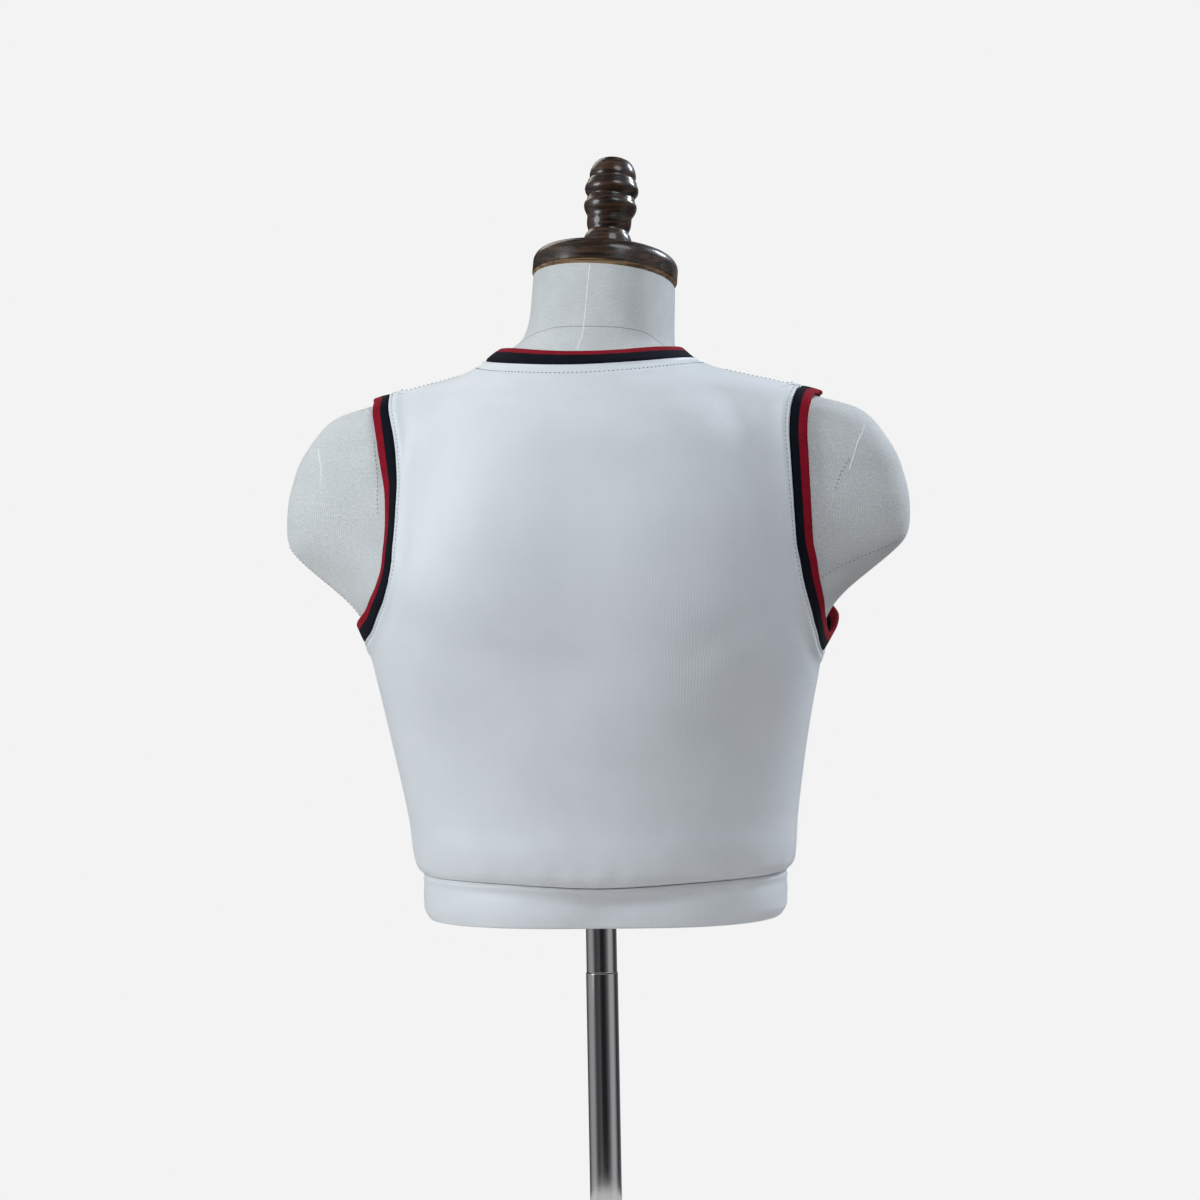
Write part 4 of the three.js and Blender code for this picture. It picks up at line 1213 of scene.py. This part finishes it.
# %% Walnut
def walnut(add, dark, light, gloss):
    place = add("TexCoord").outputs["Object"]
    drawn_out = add("Mapping", {"Vector": place, "Scale": (12, 90, 260)})
    streaks = add("TexNoise", {"Vector": drawn_out, "Scale": 1.6, "Detail": 7, "Distortion": 0.6})
    fine = add("Mapping", {"Vector": place, "Scale": (60, 900, 1400)})
    pores = add("TexNoise", {"Vector": fine, "Scale": 1, "Detail": 3})
    grain = add("Math", {0: pores, 1: 0.4, 2: streaks}, operation="MULTIPLY_ADD")
    share = add("MapRange", {"Value": grain, "From Min": 0.6, "From Max": 0.9})
    wood = add("Mix", {"Factor": share, 6: colour(dark), 7: colour(light)}, data_type="RGBA")
    relief = add("Bump", {"Height": grain, "Strength": 0.25, "Distance": 0.0006})
    return add("BsdfPrincipled", {
        "Base Color": wood.outputs[2], "Normal": relief, "Roughness": 0.4, "IOR": 1.5,
        "Specular IOR Level": 0.25, "Coat Weight": gloss, "Coat Roughness": 0.14,
    })


stained_walnut = make_material("stained walnut, lacquered", walnut, "#0D0805", "#4E3524", 0.5)
bare_walnut = make_material("bare walnut", walnut, "#6B523C", "#B3946F", 0)


# %% Lathe
def arc(radius, height, size, start, end, steps):
    turns = np.radians(np.linspace(start, end, steps + 1))
    return [(radius + size * math.cos(a), height + size * math.sin(a)) for a in turns]


def turned(profile, sides):
    """A bmesh of a profile of (radius, height) turned round the vertical axis."""
    bm = bmesh.new()
    verts = [bm.verts.new((radius * MM, 0, height * MM)) for radius, height in profile]
    edges = [bm.edges.new(pair) for pair in zip(verts, verts[1:])]
    bmesh.ops.spin(
        bm, geom=verts + edges, cent=(0, 0, 0), axis=(0, 0, 1), angle=FULL_TURN, steps=sides, use_merge=True
    )
    bmesh.ops.remove_doubles(bm, verts=bm.verts, dist=0.001 * MM)
    bmesh.ops.recalc_face_normals(bm, faces=bm.faces)
    return bm


# %% Neck cap and finial
CAP_RADIUS, CAP_THICK, CAP_CROWN, CAP_EDGE, FINIAL_TALL = 47.5, 19, 1.4, 8, 65
up = Vector((-math.tan(NECK_TIP), -math.tan(NECK_LEAN), 1)).normalized()
neck_axis = Vector((section("side0", NECK_TOP), section("back0", NECK_TOP), NECK_TOP))
tilt = Vector((0, 0, 1)).rotation_difference(up).to_matrix().to_4x4()
neck_place = Matrix.Translation((neck_axis + up * SEAM_GAP) * MM) @ tilt

bm = turned([
    (0, 0),
    (CAP_RADIUS - 3.5, 0),
    (CAP_RADIUS - 0.4, 3.2),
    (CAP_RADIUS, 3.7),
    *arc(CAP_RADIUS - CAP_EDGE, CAP_THICK - CAP_EDGE, CAP_EDGE, 0, 80, 10),
    (CAP_RADIUS - 16, CAP_THICK + 0.8),
    (0, CAP_THICK + CAP_CROWN),
], 96)
for face in bm.faces:
    face.material_index = int(face.calc_center_median().z < 3.2 * MM)
bm.transform(neck_place)
neck_cap = make_piece("walnut_neck_cap", bm, stained_walnut, "walnut", "neck_cap", sharp=35)
neck_cap.data.materials.append(bare_walnut)

bm = turned([
    (0, 0), (16, 0), (16.2, 4), (15.8, 9), (14.6, 12), (13.4, 13.6), (13.1, 14.6), (13.6, 16),
    (14.3, 18), (14.6, 20.2), (14.6, 22.6), (14.6, 24.4), (14.9, 25.4), (15.6, 26.6), (16.6, 28.4),
    (17.2, 30.2), (17.4, 32), (17.1, 33.4), (16.3, 34.6), (15.9, 35.6), (15.7, 36.8), (15.2, 37.7),
    (15.4, 38.4), (16.2, 39.4), (17.2, 41), (17.7, 42.8), (17.5, 44.6), (16.8, 46.4), (16.2, 47.8),
    (16, 48.8), (15.3, 49.6), (15, 50.4), (15.2, 51.5), (15.3, 53), (15.1, 54.6), (14.6, 56.4),
    (13.7, 58.6), (12.4, 60.8), (10.4, 62.7), (7.6, 64.1), (4, 64.8), (0, FINIAL_TALL),
], 72)
bm.transform(neck_place @ Matrix.Translation((0, 0, (CAP_THICK + CAP_CROWN + SEAM_GAP) * MM)))
make_piece("walnut_finial", bm, stained_walnut, "walnut", "finial")

# %% [markdown]
# ## Chrome stand
#
# The form stands on a steel tube in two sections that slide into each other, on a round plate. Bright
# chrome has hardly a colour of its own: it shows bands of the room, dark where the room is dark. Fine
# lengthwise polishing marks break the bands up a little.

# %% Chrome
def chrome(add):
    place = add("TexCoord").outputs["Object"]
    drawn_out = add("Mapping", {"Vector": place, "Scale": (900, 900, 12)})
    marks = add("TexNoise", {"Vector": drawn_out, "Scale": 1, "Detail": 3})
    rough = add("MapRange", {"Value": marks, "To Min": 0.06, "To Max": 0.16})
    relief = add("Bump", {"Height": marks, "Strength": 0.08, "Distance": 0.0002})
    return add("BsdfPrincipled", {
        "Base Color": colour("#C9CACB"), "Metallic": 1.0, "Roughness": rough, "Normal": relief,
    })


bright_chrome = make_material("bright chrome plate", chrome)

# %% Pole and foot plate
POLE_RADIUS, LOWER_POLE_RADIUS, POLE_JOINT, POLE_TOP = 10, 10.4, 243, 342
BASE_RADIUS, BASE_THICK, BOSS_RADIUS, BOSS_TOP, SOCKET_FLOOR = 140, 10, 19, 26, 4


def tube_profile(radius, low, high, edge=0.5):
    return [(0, low), (radius - edge, low), *arc(radius - edge, low + edge, edge, -90, 0, 4),
            *arc(radius - edge, high - edge, edge, 0, 90, 4), (0, high)]


SOCKET = LOWER_POLE_RADIUS + SEAM_GAP
STAND = {
    "pole_upper": ("upper_pole", tube_profile(POLE_RADIUS, POLE_JOINT + SEAM_GAP, POLE_TOP)),
    "pole_lower": ("lower_pole", tube_profile(LOWER_POLE_RADIUS, SOCKET_FLOOR + SEAM_GAP, POLE_JOINT)),
    "base": ("foot_plate", [
        (0, 0),
        (BASE_RADIUS - 1, 0),
        *arc(BASE_RADIUS - 1, 1, 1, -90, 0, 4),
        *arc(BASE_RADIUS - 5, BASE_THICK - 5, 5, 0, 90, 10),
        *arc(BOSS_RADIUS + 4, BASE_THICK + 4, 4, 270, 180, 8),
        *arc(BOSS_RADIUS - 2, BOSS_TOP - 2, 2, 0, 90, 6),
        (SOCKET, BOSS_TOP),
        (SOCKET, SOCKET_FLOOR),
        (0, SOCKET_FLOOR),
    ]),
}
for node, (name, profile) in STAND.items():
    make_piece(name, turned(profile, 96), bright_chrome, "chrome", node, sharp=40)


# %% [markdown]
# ## Cut sizes of the cloth
#
# For every piece of cloth the flat size of the cut that shows is listed, and its area is printed beside the
# area that its mesh shows. A panel's area is less than its width times its length, because the armholes and
# the neckline are cut out of it. The trims and the band are strips folded double, so their cut is twice as
# wide as what shows.

# %% Sheets
CUTS = [  # piece, how it is held, flat width and length, area where the cut is no rectangle, what bears it
    (back_panel, "stretched", (0.405, 0.354), 0.119, [form_body]),
    (front_panel, "hung", (0.432, 0.366), 0.108, [form_body]),
    (hem_band, "folded", (0.686, 2 * (HEM_SEAM - HEM_LOW) * MM), None, [back_panel, front_panel]),
    (neck_trim, "folded", (0.515, 2 * RIB_WIDE * MM), None, [back_panel, front_panel, form_body]),
    (armhole_trims[0], "folded", (0.494, 2 * RIB_WIDE * MM), None, [back_panel, front_panel, form_body]),
    (armhole_trims[1], "folded", (0.466, 2 * RIB_WIDE * MM), None, [back_panel, front_panel, form_body]),
]
for piece, held, (width, length), area, bearers in CUTS:
    cut, shown = area or width * length, sum(face.area for face in piece.data.polygons)
    print(f"{piece.name}: cut {cut:.4f}, shown {shown:.4f} square metres")

# %% Finish
size = {"cad": [list(corner) for corner in cad_box], "visual": [list(corner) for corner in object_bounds()]}
